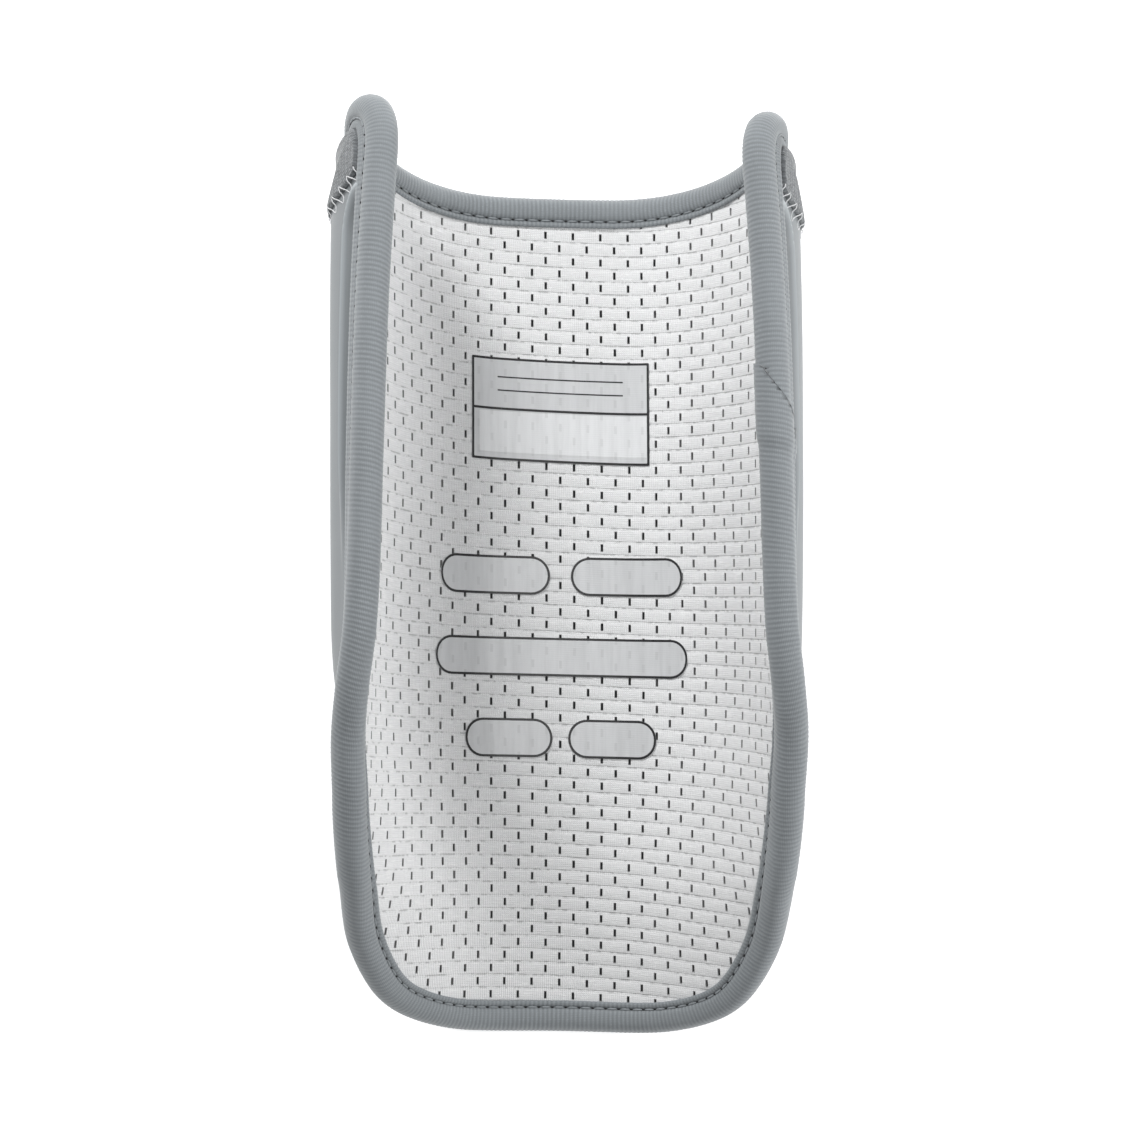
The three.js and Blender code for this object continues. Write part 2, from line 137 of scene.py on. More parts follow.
# Fine patterns in the cloth, and the reach of the painted shade round the slits and along each sewn line
MESH_COURSES = 14
FILM_COURSES = 12
SLIT_REACH = (0.62, 0.55)
YARN_PITCH = 0.45 * MM
GROOVE_SHADE_WIDTH = 0.8 * MM

# Folded tape: how far its legs stand off, how far they sink at the stitches, and the size of its nose
TAPE_STANDOFF = 0.95 * MM
STITCH_SINK = 0.55 * MM
NOSE_REACH = 3.5 * MM
NOSE_RISE = 1.55 * MM
NOSE_POINTS = 11
STITCH_STANDOFF = 0.68 * MM

# Lap of the tape: its rise over the start, and the slanting cut of its end, with a dark strip of painted
# shade along it
LAP_RAMP = 4 * MM
LAP_LIFT = 1.1
CUT_AHEAD = 3 * MM
CUT_SLANT = 1.5
CUT_SHIFT = 2.5 * MM
CUT_LEAST = 2 * MM
CREASE_SHADE_WIDTH = 0.35 * MM
CREASE_SHADE_SHARE = 0.7

# Lean of the ribs on the left, by share of the rim, and before the lap on the right
LEFT_LEAN = 0.16
LEFT_LEAN_START = (0.55, 0.62)
LEFT_LEAN_END = (0.93, 0.98)
RIGHT_LEAN = 0.2
RIGHT_LEAN_START = (40 * MM, 20 * MM)

# Parts of each sewn line: kind, shift along the line in stitches, length, width and height
STITCH_PARTS = (
    ("thread", 0, 2.5 * MM, 0.55 * MM, 0.5 * MM),
    # Dark lumps as painted shadow in each needle hole
    ("holes", 0.5, 0.75 * MM, 0.5 * MM, 0.3 * MM),
)
STITCH_AHEAD = 0.3 * MM

# Prints on the lining
LABEL_SIZE = (47 * MM, 27 * MM)
LABEL_UP = 162 * MM
LABEL_TILT = 0.022
MOTIF_SIZE = (68 * MM, 52 * MM)
MOTIF_UP = 98 * MM
BAR_HEIGHT = 10 * MM
PRINT_STEP = 1.5 * MM
PRINT_RELIEF = 0.05 * MM
PANEL_MARGIN = 1.4 * MM
LABEL_CORNER = 0.3 * MM
LEAST_CORNER = 0.15 * MM
PRINT_ROOM = 0.6 * MM
FILM_LIFT = 0.02 * MM
PANEL_LIFT = 0.01 * MM
RULE_WIDTH = 0.7
RULE_THICKNESS = 0.55

# Turn of the lining's section in degrees, at each sixth of the half girth out from the back
SECTION_TABLE = (
    # along, sixth 1, 2, 3, 4, 5 and 6
    (0.000, 9, 20, 22, 22, 22, 22),
    (0.113, 13, 33, 34, 34, 32, 30),
    (0.182, 13, 34, 48, 54, 56, 56),
    (0.270, 7, 33, 54, 65, 70, 70),
    (0.330, 6, 30, 53, 70, 77, 79),
    (0.375, 5, 29, 52, 72, 84, 90),
    (0.446, 5, 29, 52, 72, 89, 106),
    (0.612, 6, 34, 51, 68, 90, 127),
    (0.798, 6, 33, 50, 68, 95, 136),
    (1.000, 6, 33, 50, 70, 102, 150),
)

# Outermost line of the right half, as shares of the half girth and of the length
OUTLINE_TABLE = (
    (0.000, 0.000),
    (0.267, 0.002),
    (0.367, 0.009),
    (0.444, 0.019),
    (0.500, 0.030),
    (0.550, 0.045),
    (0.600, 0.068),
    (0.656, 0.102),
    (0.711, 0.145),
    (0.761, 0.183),
    (0.839, 0.255),
    (0.907, 0.323),
    (0.956, 0.366),
    (0.990, 0.417),
    (1.000, 0.481),
    (1.000, 0.681),
    (1.000, 0.868),
    (0.997, 0.919),
    (0.984, 0.941),
    (0.956, 0.959),
    (0.913, 0.970),
    (0.862, 0.974),
    (0.811, 0.971),
    (0.733, 0.961),
    (0.656, 0.954),
    (0.578, 0.949),
    (0.500, 0.945),
    (0.400, 0.941),
    (0.222, 0.938),
    (0.000, 0.938),
)
OUTLINE_SAMPLES = 3000
RIM_SMOOTHING = 3 * MM

# Bars of the printed motif: place across and up from its middle, and length, as shares of its size
MOTIF_BARS = (
    ("motif_bar_top_left", -0.26, 0.5, 0.44),
    ("motif_bar_top_right", 0.26, 0.5, 0.44),
    ("motif_bar_middle", 0, 0, 1),
    ("motif_bar_bottom_left", -0.2, -0.5, 0.34),
    ("motif_bar_bottom_right", 0.2, -0.5, 0.34),
)

# Lights: name, place, size and the setting with its power
LIGHTS = (
    ("key_light", (-0.4, 0.8, 0.6), 0.3, "key_power"),
    ("end_light", (1.0, 0.3, 0.6), 0.35, "end_power"),
    ("right_light", (0.95, -0.35, 0.3), 0.35, "right_power"),
    ("top_light", (0.2, 0, 1.05), 0.5, "top_power"),
)
LIGHT_TARGET = (0, 0, 0.03)
EYE_TARGET = (2.1 * MM, 2.2 * MM, 16 * MM)
SENSOR_WIDTH = 36
FLOOR_SIZE = 8

TOP_MIDDLE = OUTLINE_TABLE[-1][1] * GUARD_LENGTH
SADDLE_CENTRE = TOP_MIDDLE / 2
FOAM_FACE = LINING_THICKNESS + LAYER_GAP
EDGE_THICKNESS = FOAM_FACE + FOAM_EDGE + LAYER_GAP + SHELL_EDGE
MIDDLE_THICKNESS = FOAM_FACE + FOAM_MIDDLE + LAYER_GAP + SHELL_MIDDLE


# The lining's curved face and the wall behind it

def saddle_drop(along):
    return SADDLE_RADIUS * (1 - np.cos((along - SADDLE_CENTRE) / SADDLE_RADIUS))


PLATE_DROP = float(saddle_drop(SADDLE_CENTRE + PLATE_HALF_LENGTH))
BACK_HEIGHT = MIDDLE_THICKNESS + PLATE_STEP + PLATE_DROP


def section_turns(share):
    """Turns at the six places of the section, smooth between the table's rows."""
    table = np.array(SECTION_TABLE, float)
    rows, values = table[:, 0], np.radians(table[:, 1:])
    last = len(rows) - 2
    index = np.clip(np.searchsorted(rows, share, side="right") - 1, 0, last)
    before, after = np.maximum(index - 1, 0), np.minimum(index + 2, last + 1)
    span = rows[index + 1] - rows[index]
    place = np.clip((share - rows[index]) / span, 0, 1)[:, None]
    slope_in = (values[index + 1] - values[before]) * (span / (rows[index + 1] - rows[before]))[:, None]
    slope_out = (values[after] - values[index]) * (span / (rows[after] - rows[index]))[:, None]
    square, cube = place**2, place**3
    return (
        (2 * cube - 3 * square + 1) * values[index]
        + (cube - 2 * square + place) * slope_in
        + (3 * square - 2 * cube) * values[index + 1]
        + (cube - square) * slope_out
    )


def section_points(across, share):
    """Sideways and upward place on the section, as an arc for each sixth of the half girth."""
    turns = section_turns(share)
    sixth = HALF_GIRTH / turns.shape[1]
    left = np.abs(across)
    x, z = np.zeros_like(left), np.zeros_like(left)
    start = np.zeros_like(left)
    for column in range(turns.shape[1]):
        last = column == turns.shape[1] - 1
        length = left if last else np.minimum(sixth, left)
        end = start + (turns[:, column] - start) * length / sixth
        turn = end - start
        middle = (start + end) / 2
        chord = length * np.sinc(turn / (2 * np.pi))
        x += chord * np.cos(middle)
        z += chord * np.sin(middle)
        start = turns[:, column]
        left = left - length
    return np.sign(across) * x, z


def lining_points(across, along):
    lengthwise = along - LAY_SHEAR * across
    x, z = section_points(across, lengthwise / GUARD_LENGTH)
    tilt = (lengthwise - SADDLE_CENTRE) / SADDLE_RADIUS
    radius = SADDLE_RADIUS + z
    return np.stack([x, radius * np.sin(tilt), radius * np.cos(tilt) - SADDLE_RADIUS + BACK_HEIGHT], -1)


def unit(vectors):
    return vectors / np.maximum(np.linalg.norm(vectors, axis=-1, keepdims=True), 1e-12)


def inward_normals(nodes):
    """Direction from the lining's face into the hollow."""
    across, along = nodes[:, 0], nodes[:, 1]
    sideways = lining_points(across + NORMAL_STEP, along) - lining_points(across - NORMAL_STEP, along)
    lengthways = lining_points(across, along + NORMAL_STEP) - lining_points(across, along - NORMAL_STEP)
    return unit(np.cross(sideways, lengthways))


def raw_wall_points(nodes, offset):
    return lining_points(nodes[:, 0], nodes[:, 1]) - inward_normals(nodes) * np.reshape(offset, (-1, 1))


def tilted(nodes):
    """The label's nodes, laid a little askew on the lining."""
    return nodes - np.stack([np.zeros(len(nodes)), LABEL_TILT * nodes[:, 0]], 1)


def frame_shift():
    """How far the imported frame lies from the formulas, read off the plain label solid."""
    columns, rows, clearance, thickness = 10, 2, 0.4 * MM, 0.4 * MM
    across = LABEL_SIZE[0] * (np.arange(columns + 1) / columns - 0.5)
    along = LABEL_UP + LABEL_SIZE[1] * (np.arange(rows + 1) / rows - 0.5)
    nodes = tilted(np.stack(np.meshgrid(across, along), -1).reshape(-1, 2))
    faces = [raw_wall_points(nodes, np.full(len(nodes), -clearance - side * thickness)) for side in (0, 1)]
    lowest = np.concatenate(faces).min(0)
    return np.array(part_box("label_film")[0]) - lowest


SHIFT = frame_shift()


def wall_points(nodes, offset):
    """Points in the frame at an offset from the lining's face, outwards away from the hollow."""
    return raw_wall_points(nodes, offset) + SHIFT


# The guard's outermost line in the pattern plane

def outline_points(count):
    """The closed centripetal curve through the outline table, counter-clockwise from the bottom middle."""
    right = np.array(OUTLINE_TABLE) * (HALF_GIRTH, GUARD_LENGTH)
    left = right[1:-1][::-1] * (-1, 1)
    places = np.concatenate([right, left])
    total = len(places)
    parameter = np.arange(count) * total / count
    index = np.floor(parameter).astype(int)
    weight = (parameter - index)[:, None]
    first, second, third, fourth = (places[(index + step) % total] for step in (-1, 0, 1, 2))
    knots = [np.sqrt(np.linalg.norm(b - a, axis=1))[:, None] for a, b in
             ((first, second), (second, third), (third, fourth))]
    enter = (second - first) / knots[0] - (third - first) / (knots[0] + knots[1])
    leave = (third - second) / knots[1] - (fourth - second) / (knots[1] + knots[2])
    enter += (third - second) / knots[1]
    leave += (fourth - third) / knots[2]
    enter, leave = enter * knots[1], leave * knots[1]
    square, cube = weight**2, weight**3
    return (
        second
        + enter * weight
        + (3 * (third - second) - 2 * enter - leave) * square
        + (2 * (second - third) + enter + leave) * cube
    )


class Rim:
    """The outermost line by its length, with the outward direction at each place."""

    def __init__(self):
        fine = outline_points(OUTLINE_SAMPLES)
        steps = np.linalg.norm(np.roll(fine, -1, 0) - fine, axis=1)
        self.length = float(steps.sum())
        walked = np.concatenate([[0], np.cumsum(steps)])
        closed = np.concatenate([fine, fine[:1]])
        self.walked = np.linspace(0, self.length, OUTLINE_SAMPLES + 1)
        self.places = np.stack([np.interp(self.walked, walked, closed[:, axis]) for axis in (0, 1)], 1)
        open_places = self.places[:-1]
        tangent = unit(np.roll(open_places, -1, 0) - np.roll(open_places, 1, 0))
        outward = np.stack([tangent[:, 1], -tangent[:, 0]], 1)
        reach = int(RIM_SMOOTHING / (self.length / OUTLINE_SAMPLES))
        smooth = sum(np.roll(outward, step, 0) for step in range(-reach, reach + 1))
        smooth = unit(smooth)
        self.outward = np.concatenate([smooth, smooth[:1]])
        self.tree = kdtree.KDTree(OUTLINE_SAMPLES)
        for index, place in enumerate(open_places):
            self.tree.insert((place[0], place[1], 0), index)
        self.tree.balance()
        self.sharp_outward = outward

    def nodes(self, walked, inset):
        """Pattern nodes at a length round the rim and an inset from it."""
        wrapped = np.mod(walked, self.length)
        place = np.stack([np.interp(wrapped, self.walked, self.places[:, axis]) for axis in (0, 1)], -1)
        outward = np.stack([np.interp(wrapped, self.walked, self.outward[:, axis]) for axis in (0, 1)], -1)
        return place - unit(outward) * np.asarray(inset)[..., None]

    def inset_of(self, nodes):
        """Inset of each node from the rim, and the outward direction there."""
        found = np.array([self.tree.find((node[0], node[1], 0))[1] for node in nodes])
        outward = self.sharp_outward[found]
        away = nodes - self.places[:-1][found]
        distance = np.linalg.norm(away, axis=1)
        side = -np.sign(np.einsum("ij,ij->i", away, outward))
        return side * distance, outward

    def walked_at(self, across_sign, along):
        """Length round the rim at which one side reaches a height."""
        side = self.places[:, 0] * across_sign > HALF_GIRTH / 2
        return float(self.walked[side][np.argmin(np.abs(self.places[side, 1] - along))])


RIM = Rim()


def smoothstep(value, low, high):
    share = np.clip((value - low) / (high - low), 0, 1)
    return share * share * (3 - 2 * share)


def blend(first, second, share):
    return first + (second - first) * share


def padding_share(inset):
    return smoothstep(inset, BAND_INSET, BAND_INSET + RAMP_WIDTH)


def foam_back(nodes, inset):
    """Offset of the foam's outer face, with the fill that makes the back straight."""
    share = padding_share(inset)
    spare = np.maximum(PLATE_DROP - saddle_drop(nodes[:, 1] - LAY_SHEAR * nodes[:, 0]), 0)
    fade = np.minimum(np.abs(nodes[:, 0]) / FILL_HALF_WIDTH, 1)
    fill = spare * (1 + np.cos(np.pi * fade)) / 2 * share
    return FOAM_FACE + blend(FOAM_EDGE, FOAM_MIDDLE, share) + fill


def shell_back(nodes, inset):
    return foam_back(nodes, inset) + LAYER_GAP + blend(SHELL_EDGE, SHELL_MIDDLE, padding_share(inset))


# Meshes over the pattern plane

def grid_nodes(columns, rows):
    """Nodes and faces of a grid of lines across and along."""
    nodes = np.stack(np.meshgrid(columns, rows), -1).reshape(-1, 2)
    width = len(columns)
    corner = (np.arange(len(rows) - 1)[:, None] * width + np.arange(width - 1)[None, :]).ravel()
    return nodes, np.stack([corner, corner + 1, corner + width + 1, corner + width], 1)


def trimmed_grid(nodes, faces, inset):
    """The grid cut to the rim's inset line: nodes beyond it move in to it."""
    depth, outward = RIM.inset_of(nodes)
    inside = depth > inset
    kept = faces[inside[faces].any(axis=1)]
    moved = nodes - outward * np.where(inside, 0, inset - depth)[:, None]
    used, kept = np.unique(kept, return_inverse=True)
    return moved[used], kept.reshape(-1, faces.shape[1]), used


def border_edges(faces):
    """Directed edges that only one face has."""
    edges = np.stack([faces, np.roll(faces, -1, axis=1)], -1).reshape(-1, 2)
    forward = {(int(a), int(b)) for a, b in edges}
    return [(a, b) for a, b in forward if (b, a) not in forward]


def mesh_object(name, points, faces):
    mesh = bpy.data.meshes.new(name)
    mesh.from_pydata(points.tolist(), [], faces)
    mesh.update()
    made = bpy.data.objects.new(name, mesh)
    bpy.context.scene.collection.objects.link(made)
    return made


def set_pattern(made, places):
    """Stores each vertex's place on the cut cloth, in metres, for the materials."""
    attribute = made.data.attributes.new("pattern", "FLOAT_VECTOR", "POINT")
    flat = np.zeros((len(places), 3), np.float32)
    flat[:, : places.shape[1]] = places
    attribute.data.foreach_set("vector", flat.ravel())


def layer_object(name, nodes, faces, inner, outer, places=None):
    """Closed layer between two offsets from the lining's face."""
    count = len(nodes)
    points = np.concatenate([wall_points(nodes, inner), wall_points(nodes, outer)])
    solid = faces.tolist()
    solid += (count + faces[:, ::-1]).tolist()
    solid += [[b, a, count + a, count + b] for a, b in border_edges(faces)]
    made = mesh_object(name, points, solid)
    places = nodes if places is None else places
    set_pattern(made, np.concatenate([places, places]))
    return made


def merge_close(made, distance=0.02 * MM):
    work = bmesh.new()
    work.from_mesh(made.data)
    bmesh.ops.remove_doubles(work, verts=work.verts, dist=distance)
    bmesh.ops.dissolve_degenerate(work, edges=work.edges, dist=distance / 2)
    work.to_mesh(made.data)
    work.free()


def finish_piece(made, material, replaced=(), angle=50):
    """Smooths a piece, gives it its finish and fixes it to the guard."""
    bpy.ops.object.select_all(action="DESELECT")
    made.select_set(True)
    bpy.context.view_layer.objects.active = made
    bpy.ops.object.shade_smooth_by_angle(angle=math.radians(angle))
    if not made.data.materials:
        made.data.materials.append(material)
    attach(made, ROOT_BODY)
    if replaced:
        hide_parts(*replaced)


# Materials

class Finish:
    """A material with its shader, and short ways to add the nodes that feed it."""

    def __init__(self, name, color, roughness, **sockets):
        self.base = tuple(color)
        self.material = bpy.data.materials.new(name)
        self.material.use_nodes = True
        self.tree = self.material.node_tree
        self.shader = self.tree.nodes["Principled BSDF"]
        self.shader.inputs["Base Color"].default_value = (*color, 1)
        self.shader.inputs["Roughness"].default_value = roughness
        for socket, value in sockets.items():
            self.shader.inputs[socket.replace("_", " ")].default_value = value

    def pattern(self):
        return self.add("ShaderNodeAttribute", attribute_name="pattern").outputs["Vector"]

    def object_place(self):
        return self.add("ShaderNodeTexCoord").outputs["Object"]

    def add(self, kind, **settings):
        made = self.tree.nodes.new(kind)
        for name, value in settings.items():
            setattr(made, name, value)
        return made

    def feed(self, socket, value):
        if isinstance(value, bpy.types.NodeSocket):
            self.tree.links.new(value, socket)
        else:
            socket.default_value = value

    def math(self, operation, *values):
        made = self.add("ShaderNodeMath", operation=operation)
        for index, value in enumerate(values):
            self.feed(made.inputs[index], value)
        return made.outputs[0]

    def split(self, vector):
        made = self.add("ShaderNodeSeparateXYZ")
        self.feed(made.inputs[0], vector)
        return made.outputs[0], made.outputs[1], made.outputs[2]

    def scaled(self, vector, scale):
        made = self.add("ShaderNodeMapping")
        self.feed(made.inputs["Vector"], vector)
        made.inputs["Scale"].default_value = scale
        return made.outputs[0]

    def noise(self, vector, scale, detail=2, roughness=0.5):
        made = self.add("ShaderNodeTexNoise")
        self.feed(made.inputs["Vector"], vector)
        made.inputs["Scale"].default_value = scale
        made.inputs["Detail"].default_value = detail
        made.inputs["Roughness"].default_value = roughness
        return made.outputs[0]

    def wave(self, value, pitch):
        """Smooth stripes from 0 to 1, with their crests a pitch apart."""
        turned = self.math("MULTIPLY", value, 2 * math.pi / pitch)
        return self.math("MULTIPLY_ADD", self.math("COSINE", turned), 0.5, 0.5)

    def ramp(self, value, *stops):
        """Grey ramp through (place, grey) stops."""
        made = self.add("ShaderNodeValToRGB")
        self.feed(made.inputs[0], value)
        elements = made.color_ramp.elements
        while len(elements) < len(stops):
            elements.new(0.5)
        for element, (place, grey) in zip(elements, stops):
            element.position = place
            element.color = (grey, grey, grey, 1)
        return made.outputs[0]

    def tone(self, factor=1):
        """The finish's own colour, lighter or darker."""
        return (*shade(self.base, factor), 1)

    def toned(self, light, factor, share):
        """A colour with another tone of the finish laid over a share of it."""
        return self.mixed(light, self.tone(factor), share)

    def mixed(self, first, second, share):
        made = self.add("ShaderNodeMix", data_type="RGBA", blend_type="MIX")
        for socket, value in ((made.inputs[0], share), (made.inputs[6], first), (made.inputs[7], second)):
            self.feed(socket, value)
        return made.outputs[2]

    def color(self, value):
        self.feed(self.shader.inputs["Base Color"], value)

    def roughness(self, value):
        self.feed(self.shader.inputs["Roughness"], value)

    def bump(self, height, distance, strength):
        made = self.add("ShaderNodeBump")
        made.inputs["Strength"].default_value = strength
        made.inputs["Distance"].default_value = distance
        self.feed(made.inputs["Height"], height)
        normal = self.shader.inputs["Normal"]
        if normal.is_linked:
            self.tree.links.new(normal.links[0].from_socket, made.inputs["Normal"])
        self.tree.links.new(made.outputs[0], normal)


def shade(color, factor):
    return tuple(min(part * factor, 1) for part in color)


def slit_mask(finish, pattern, lining):
    """1 on the mesh's slits and 0 between them."""
    across, along, _ = finish.split(pattern)
    half_across, half_along = lining.pitch_across / 2, lining.pitch_along / 2
    near_across = finish.math("PINGPONG", across, half_across)
    near_along = finish.math("PINGPONG", along, half_along)
    masks = []
    for side, upright in (
        (near_across, near_along),
        (finish.math("SUBTRACT", half_across, near_across), finish.math("SUBTRACT", half_along, near_along)),
    ):
        masks.append(finish.math(
            "MULTIPLY",
            finish.math("LESS_THAN", side, lining.slit_width * SLIT_REACH[0]),
            finish.math("LESS_THAN", upright, lining.slit_length * SLIT_REACH[1]),
        ))
    return finish.math("MAXIMUM", *masks)


def lining_finish(lining):
    """White sports mesh: fine courses with pin dots, raised rows with broken lines of painted shade at their
    seams, and painted shade at and round the slits.
    """
    finish = Finish("white_sports_mesh", lining.color, roughness=0.82, Sheen_Weight=0.25)
    pattern = finish.pattern()
    across, along, _ = finish.split(pattern)
    courses = finish.wave(along, lining.pitch_along / MESH_COURSES)
    pins = finish.wave(across, lining.pitch_across / MESH_COURSES)
    dots = finish.math("MULTIPLY", courses, pins)
    quarter = lining.pitch_along / 4
    brick = finish.math("DIVIDE", finish.math("PINGPONG", along, quarter), quarter)
    streaks = finish.noise(finish.scaled(pattern, (1, 9, 1)), scale=260, detail=3, roughness=0.6)
    slits = slit_mask(finish, pattern, lining)
    broken = finish.noise(pattern, scale=420, roughness=0.6)
    seam = finish.math("MULTIPLY", finish.ramp(brick, (0.78, 0.0), (0.97, 1.0)),
                       finish.ramp(broken, (0.5, 0.0), (0.58, 1.0)))
    light = finish.toned(finish.tone(), 0.82, finish.ramp(dots, (0.0, 0.5), (0.5, 0.0)))
    light = finish.toned(light, 1.15, finish.ramp(streaks, (0.5, 0.0), (0.7, 0.6)))
    # Broken dark lines where the raised rows meet: painted shade in the dips at their seams.
    light = finish.toned(light, 0.35, finish.math("MULTIPLY", seam, 0.5))
    # Darker at and just round each slit: painted shade in the holes.
    light = finish.toned(light, 0.22, finish.math("MULTIPLY", slits, 0.6))
    finish.color(light)
    step = finish.math("FRACT", finish.math("MULTIPLY_ADD", along, 2 / lining.pitch_along, 0.5))
    row_face = finish.ramp(step, (0.0, 0.0), (0.1, 1.0), (0.75, 0.6), (1.0, 0.0))
    finish.bump(streaks, distance=0.16 * MM, strength=0.7)
    finish.bump(finish.math("ADD", dots, pins), distance=0.07 * MM, strength=0.8)
    finish.bump(row_face, distance=0.4 * MM, strength=0.4)
    return finish.material


def tape_finish(tape, grooves):
    """Ribbed tape: painted highlights in light specks on the crests, painted shade in the valleys, fine
    yarns, and painted shade in a dip along each sewn line.
    """
    finish = Finish("ribbed_edge_tape", tape.color, roughness=0.72, Sheen_Weight=0.3)
    ribs, width, lap = finish.split(finish.pattern())
    crest = finish.wave(ribs, 1)
    yarns = finish.wave(width, YARN_PITCH)
    patches = finish.noise(finish.object_place(), scale=55, detail=3, roughness=0.6)
    crest_highlights = finish.noise(finish.object_place(), scale=1900, roughness=0.7)
    # Darker along each sewn line: painted shade in the dip where the tape sinks at the stitches.
    away = [finish.math("ABSOLUTE", finish.math("SUBTRACT", width, place)) for place in grooves]
    near = finish.math("MINIMUM", *away)
    groove_shade = finish.ramp(finish.math("DIVIDE", near, GROOVE_SHADE_WIDTH), (0.0, 1.0), (1.0, 0.0))
    # Lighter crests and darker valleys: painted highlight and painted shade on the ribs.
    light = finish.toned(finish.tone(0.82), 1.12, crest)
    # Light specks on the crests: painted highlights.
    crest_highlights = finish.ramp(crest_highlights, (0.52, 0.0), (0.7, 0.5))
    light = finish.toned(light, 1.5, finish.math("MULTIPLY", crest, crest_highlights))
    light = finish.toned(light, 0.86, finish.math("MULTIPLY", finish.math("SUBTRACT", 1, yarns), 0.35))
    light = finish.toned(light, 1.12, finish.ramp(patches, (0.45, 0.0), (0.7, 0.35)))
    light = finish.toned(light, 0.4, finish.math("MULTIPLY", groove_shade, 0.75))
    # The third pattern value darkens a strip along the lap's cut end: painted shade.
    finish.color(finish.toned(light, 0.3, lap))
    finish.bump(crest, distance=0.16 * MM, strength=0.7)
    finish.bump(yarns, distance=0.05 * MM, strength=0.5)
    return finish.material


def thread_finish(name, color):
    """Spun thread with a fine twist."""
    finish = Finish(name, color, roughness=0.55, Sheen_Weight=0.2)
    twist = finish.noise(finish.scaled(finish.object_place(), (1, 2, 1)), scale=2600)
    finish.color(finish.toned(finish.tone(0.82), 1.08, twist))
    finish.bump(twist, distance=0.05 * MM, strength=0.6)
    return finish.material


def hole_shadow_finish():
    """Painted shadow for the dark lumps in each needle hole."""
    finish = Finish("needle_hole_shadow", (0.02, 0.022, 0.024), roughness=0.9)
    grain = finish.noise(finish.object_place(), scale=3000)
    finish.color(finish.mixed((0.012, 0.013, 0.014, 1), (0.045, 0.047, 0.05, 1), grain))
    return finish.material


def shell_finish(shell):
    """Moulded shell: satin, with a very fine grain, faint clouding and a painted highlight along the bead."""
    finish = Finish("satin_moulded_shell", shell.color, roughness=0.42)
    place = finish.object_place()
    clouds = finish.noise(place, scale=38, detail=3, roughness=0.55)
    grain = finish.noise(place, scale=2600, roughness=0.6)
    bead = finish.split(finish.pattern())[2]
    light = finish.toned(finish.tone(0.92), 1.07, clouds)
    light = finish.toned(light, 0.8, finish.ramp(grain, (0.52, 0.0), (0.75, 0.4)))
    # Lighter along the bead: a painted highlight on its ridge.
    finish.color(finish.toned(light, 1.8, bead))
    finish.roughness(finish.math("MULTIPLY_ADD", clouds, 0.16, 0.36))
    finish.bump(grain, distance=0.05 * MM, strength=0.5)
    return finish.material


def knit_finish(knit):
    """Heathered knit: columns of small loops in mixed greys."""
    finish = Finish("heathered_knit", knit.color, roughness=0.85, Sheen_Weight=0.4)
    pattern = finish.pattern()
    across, along, _ = finish.split(pattern)
    slant = finish.math("PINGPONG", across, knit.loop_pitch / 2)
    slanted = finish.math("ADD", along, finish.math("MULTIPLY", slant, 0.9))
    courses = finish.wave(slanted, knit.loop_pitch * 0.7)
    columns = finish.wave(across, knit.loop_pitch)
    loops = finish.math("MULTIPLY", courses, finish.math("MULTIPLY_ADD", columns, 0.6, 0.4))
    heather = finish.noise(finish.scaled(pattern, (1, 1.7, 1)), scale=750, detail=3, roughness=0.75)
    light = finish.toned(finish.tone(0.5), 1.2, finish.ramp(heather, (0.36, 0.0), (0.62, 1.0)))
    between = finish.math("MULTIPLY", finish.math("SUBTRACT", 1, loops), 0.55)
    finish.color(finish.toned(light, 0.55, between))
    finish.bump(loops, distance=0.2 * MM, strength=0.8)
    finish.bump(heather, distance=0.08 * MM, strength=0.5)
    return finish.material


def foam_finish():
    """Dark foam with open cells."""
    finish = Finish("dark_foam", (0.13, 0.133, 0.137), roughness=0.95)
    voronoi = finish.add("ShaderNodeTexVoronoi")
    finish.feed(voronoi.inputs["Vector"], finish.object_place())
    voronoi.inputs["Scale"].default_value = 1400
    cells = voronoi.outputs["Distance"]
    finish.color(finish.mixed((0.09, 0.092, 0.095, 1), (0.18, 0.185, 0.19, 1), cells))
    finish.bump(cells, distance=0.1 * MM, strength=0.6)
    return finish.material


def film_finish(name, color, lining):
    """Glossy film, through which the mesh's slits and courses show a little, with painted shade over the
    slits.
    """
    finish = Finish(name, color, roughness=0.3)
    pattern = finish.pattern()
    along = finish.split(pattern)[1]
    slits = slit_mask(finish, pattern, lining)
    streaks = finish.noise(finish.scaled(pattern, (6, 0.5, 1)), scale=90, detail=3, roughness=0.6)
    courses = finish.wave(along, lining.pitch_along / FILM_COURSES)
    light = finish.toned(finish.tone(), 0.9, finish.ramp(streaks, (0.4, 0.0), (0.7, 1.0)))
    # Darker over the slits: painted shade where the film dips into them.
    finish.color(finish.toned(light, 0.82, finish.math("MULTIPLY", slits, 0.6)))
    finish.roughness(finish.math("MULTIPLY_ADD", streaks, 0.25, 0.2))
    sunk = finish.math("SUBTRACT", courses, finish.math("MULTIPLY", slits, 3))
    finish.bump(sunk, distance=0.03 * MM, strength=0.4)
    finish.bump(streaks, distance=0.2 * MM, strength=0.3)
    return finish.material


def ink_finish(prints):
    """Black ink with a fine grain."""
    finish = Finish("black_print_ink", prints.ink_color, roughness=0.4)
    grain = finish.noise(finish.pattern(), scale=1800)
    finish.color(finish.toned(finish.tone(), 2.2, grain))
    finish.bump(grain, distance=0.03 * MM, strength=0.4)
    return finish.material


def floor_finish(stage):
    """Pale floor that glows a little, as a light table does."""
    finish = Finish("pale_floor", stage.floor_color, roughness=0.9,
                    Emission_Strength=stage.floor_glow, Emission_Color=(1, 1, 1, 1))
    grain = finish.noise(finish.object_place(), scale=3)
    finish.color(finish.toned(finish.tone(), 0.985, grain))
    return finish.material


# Settings

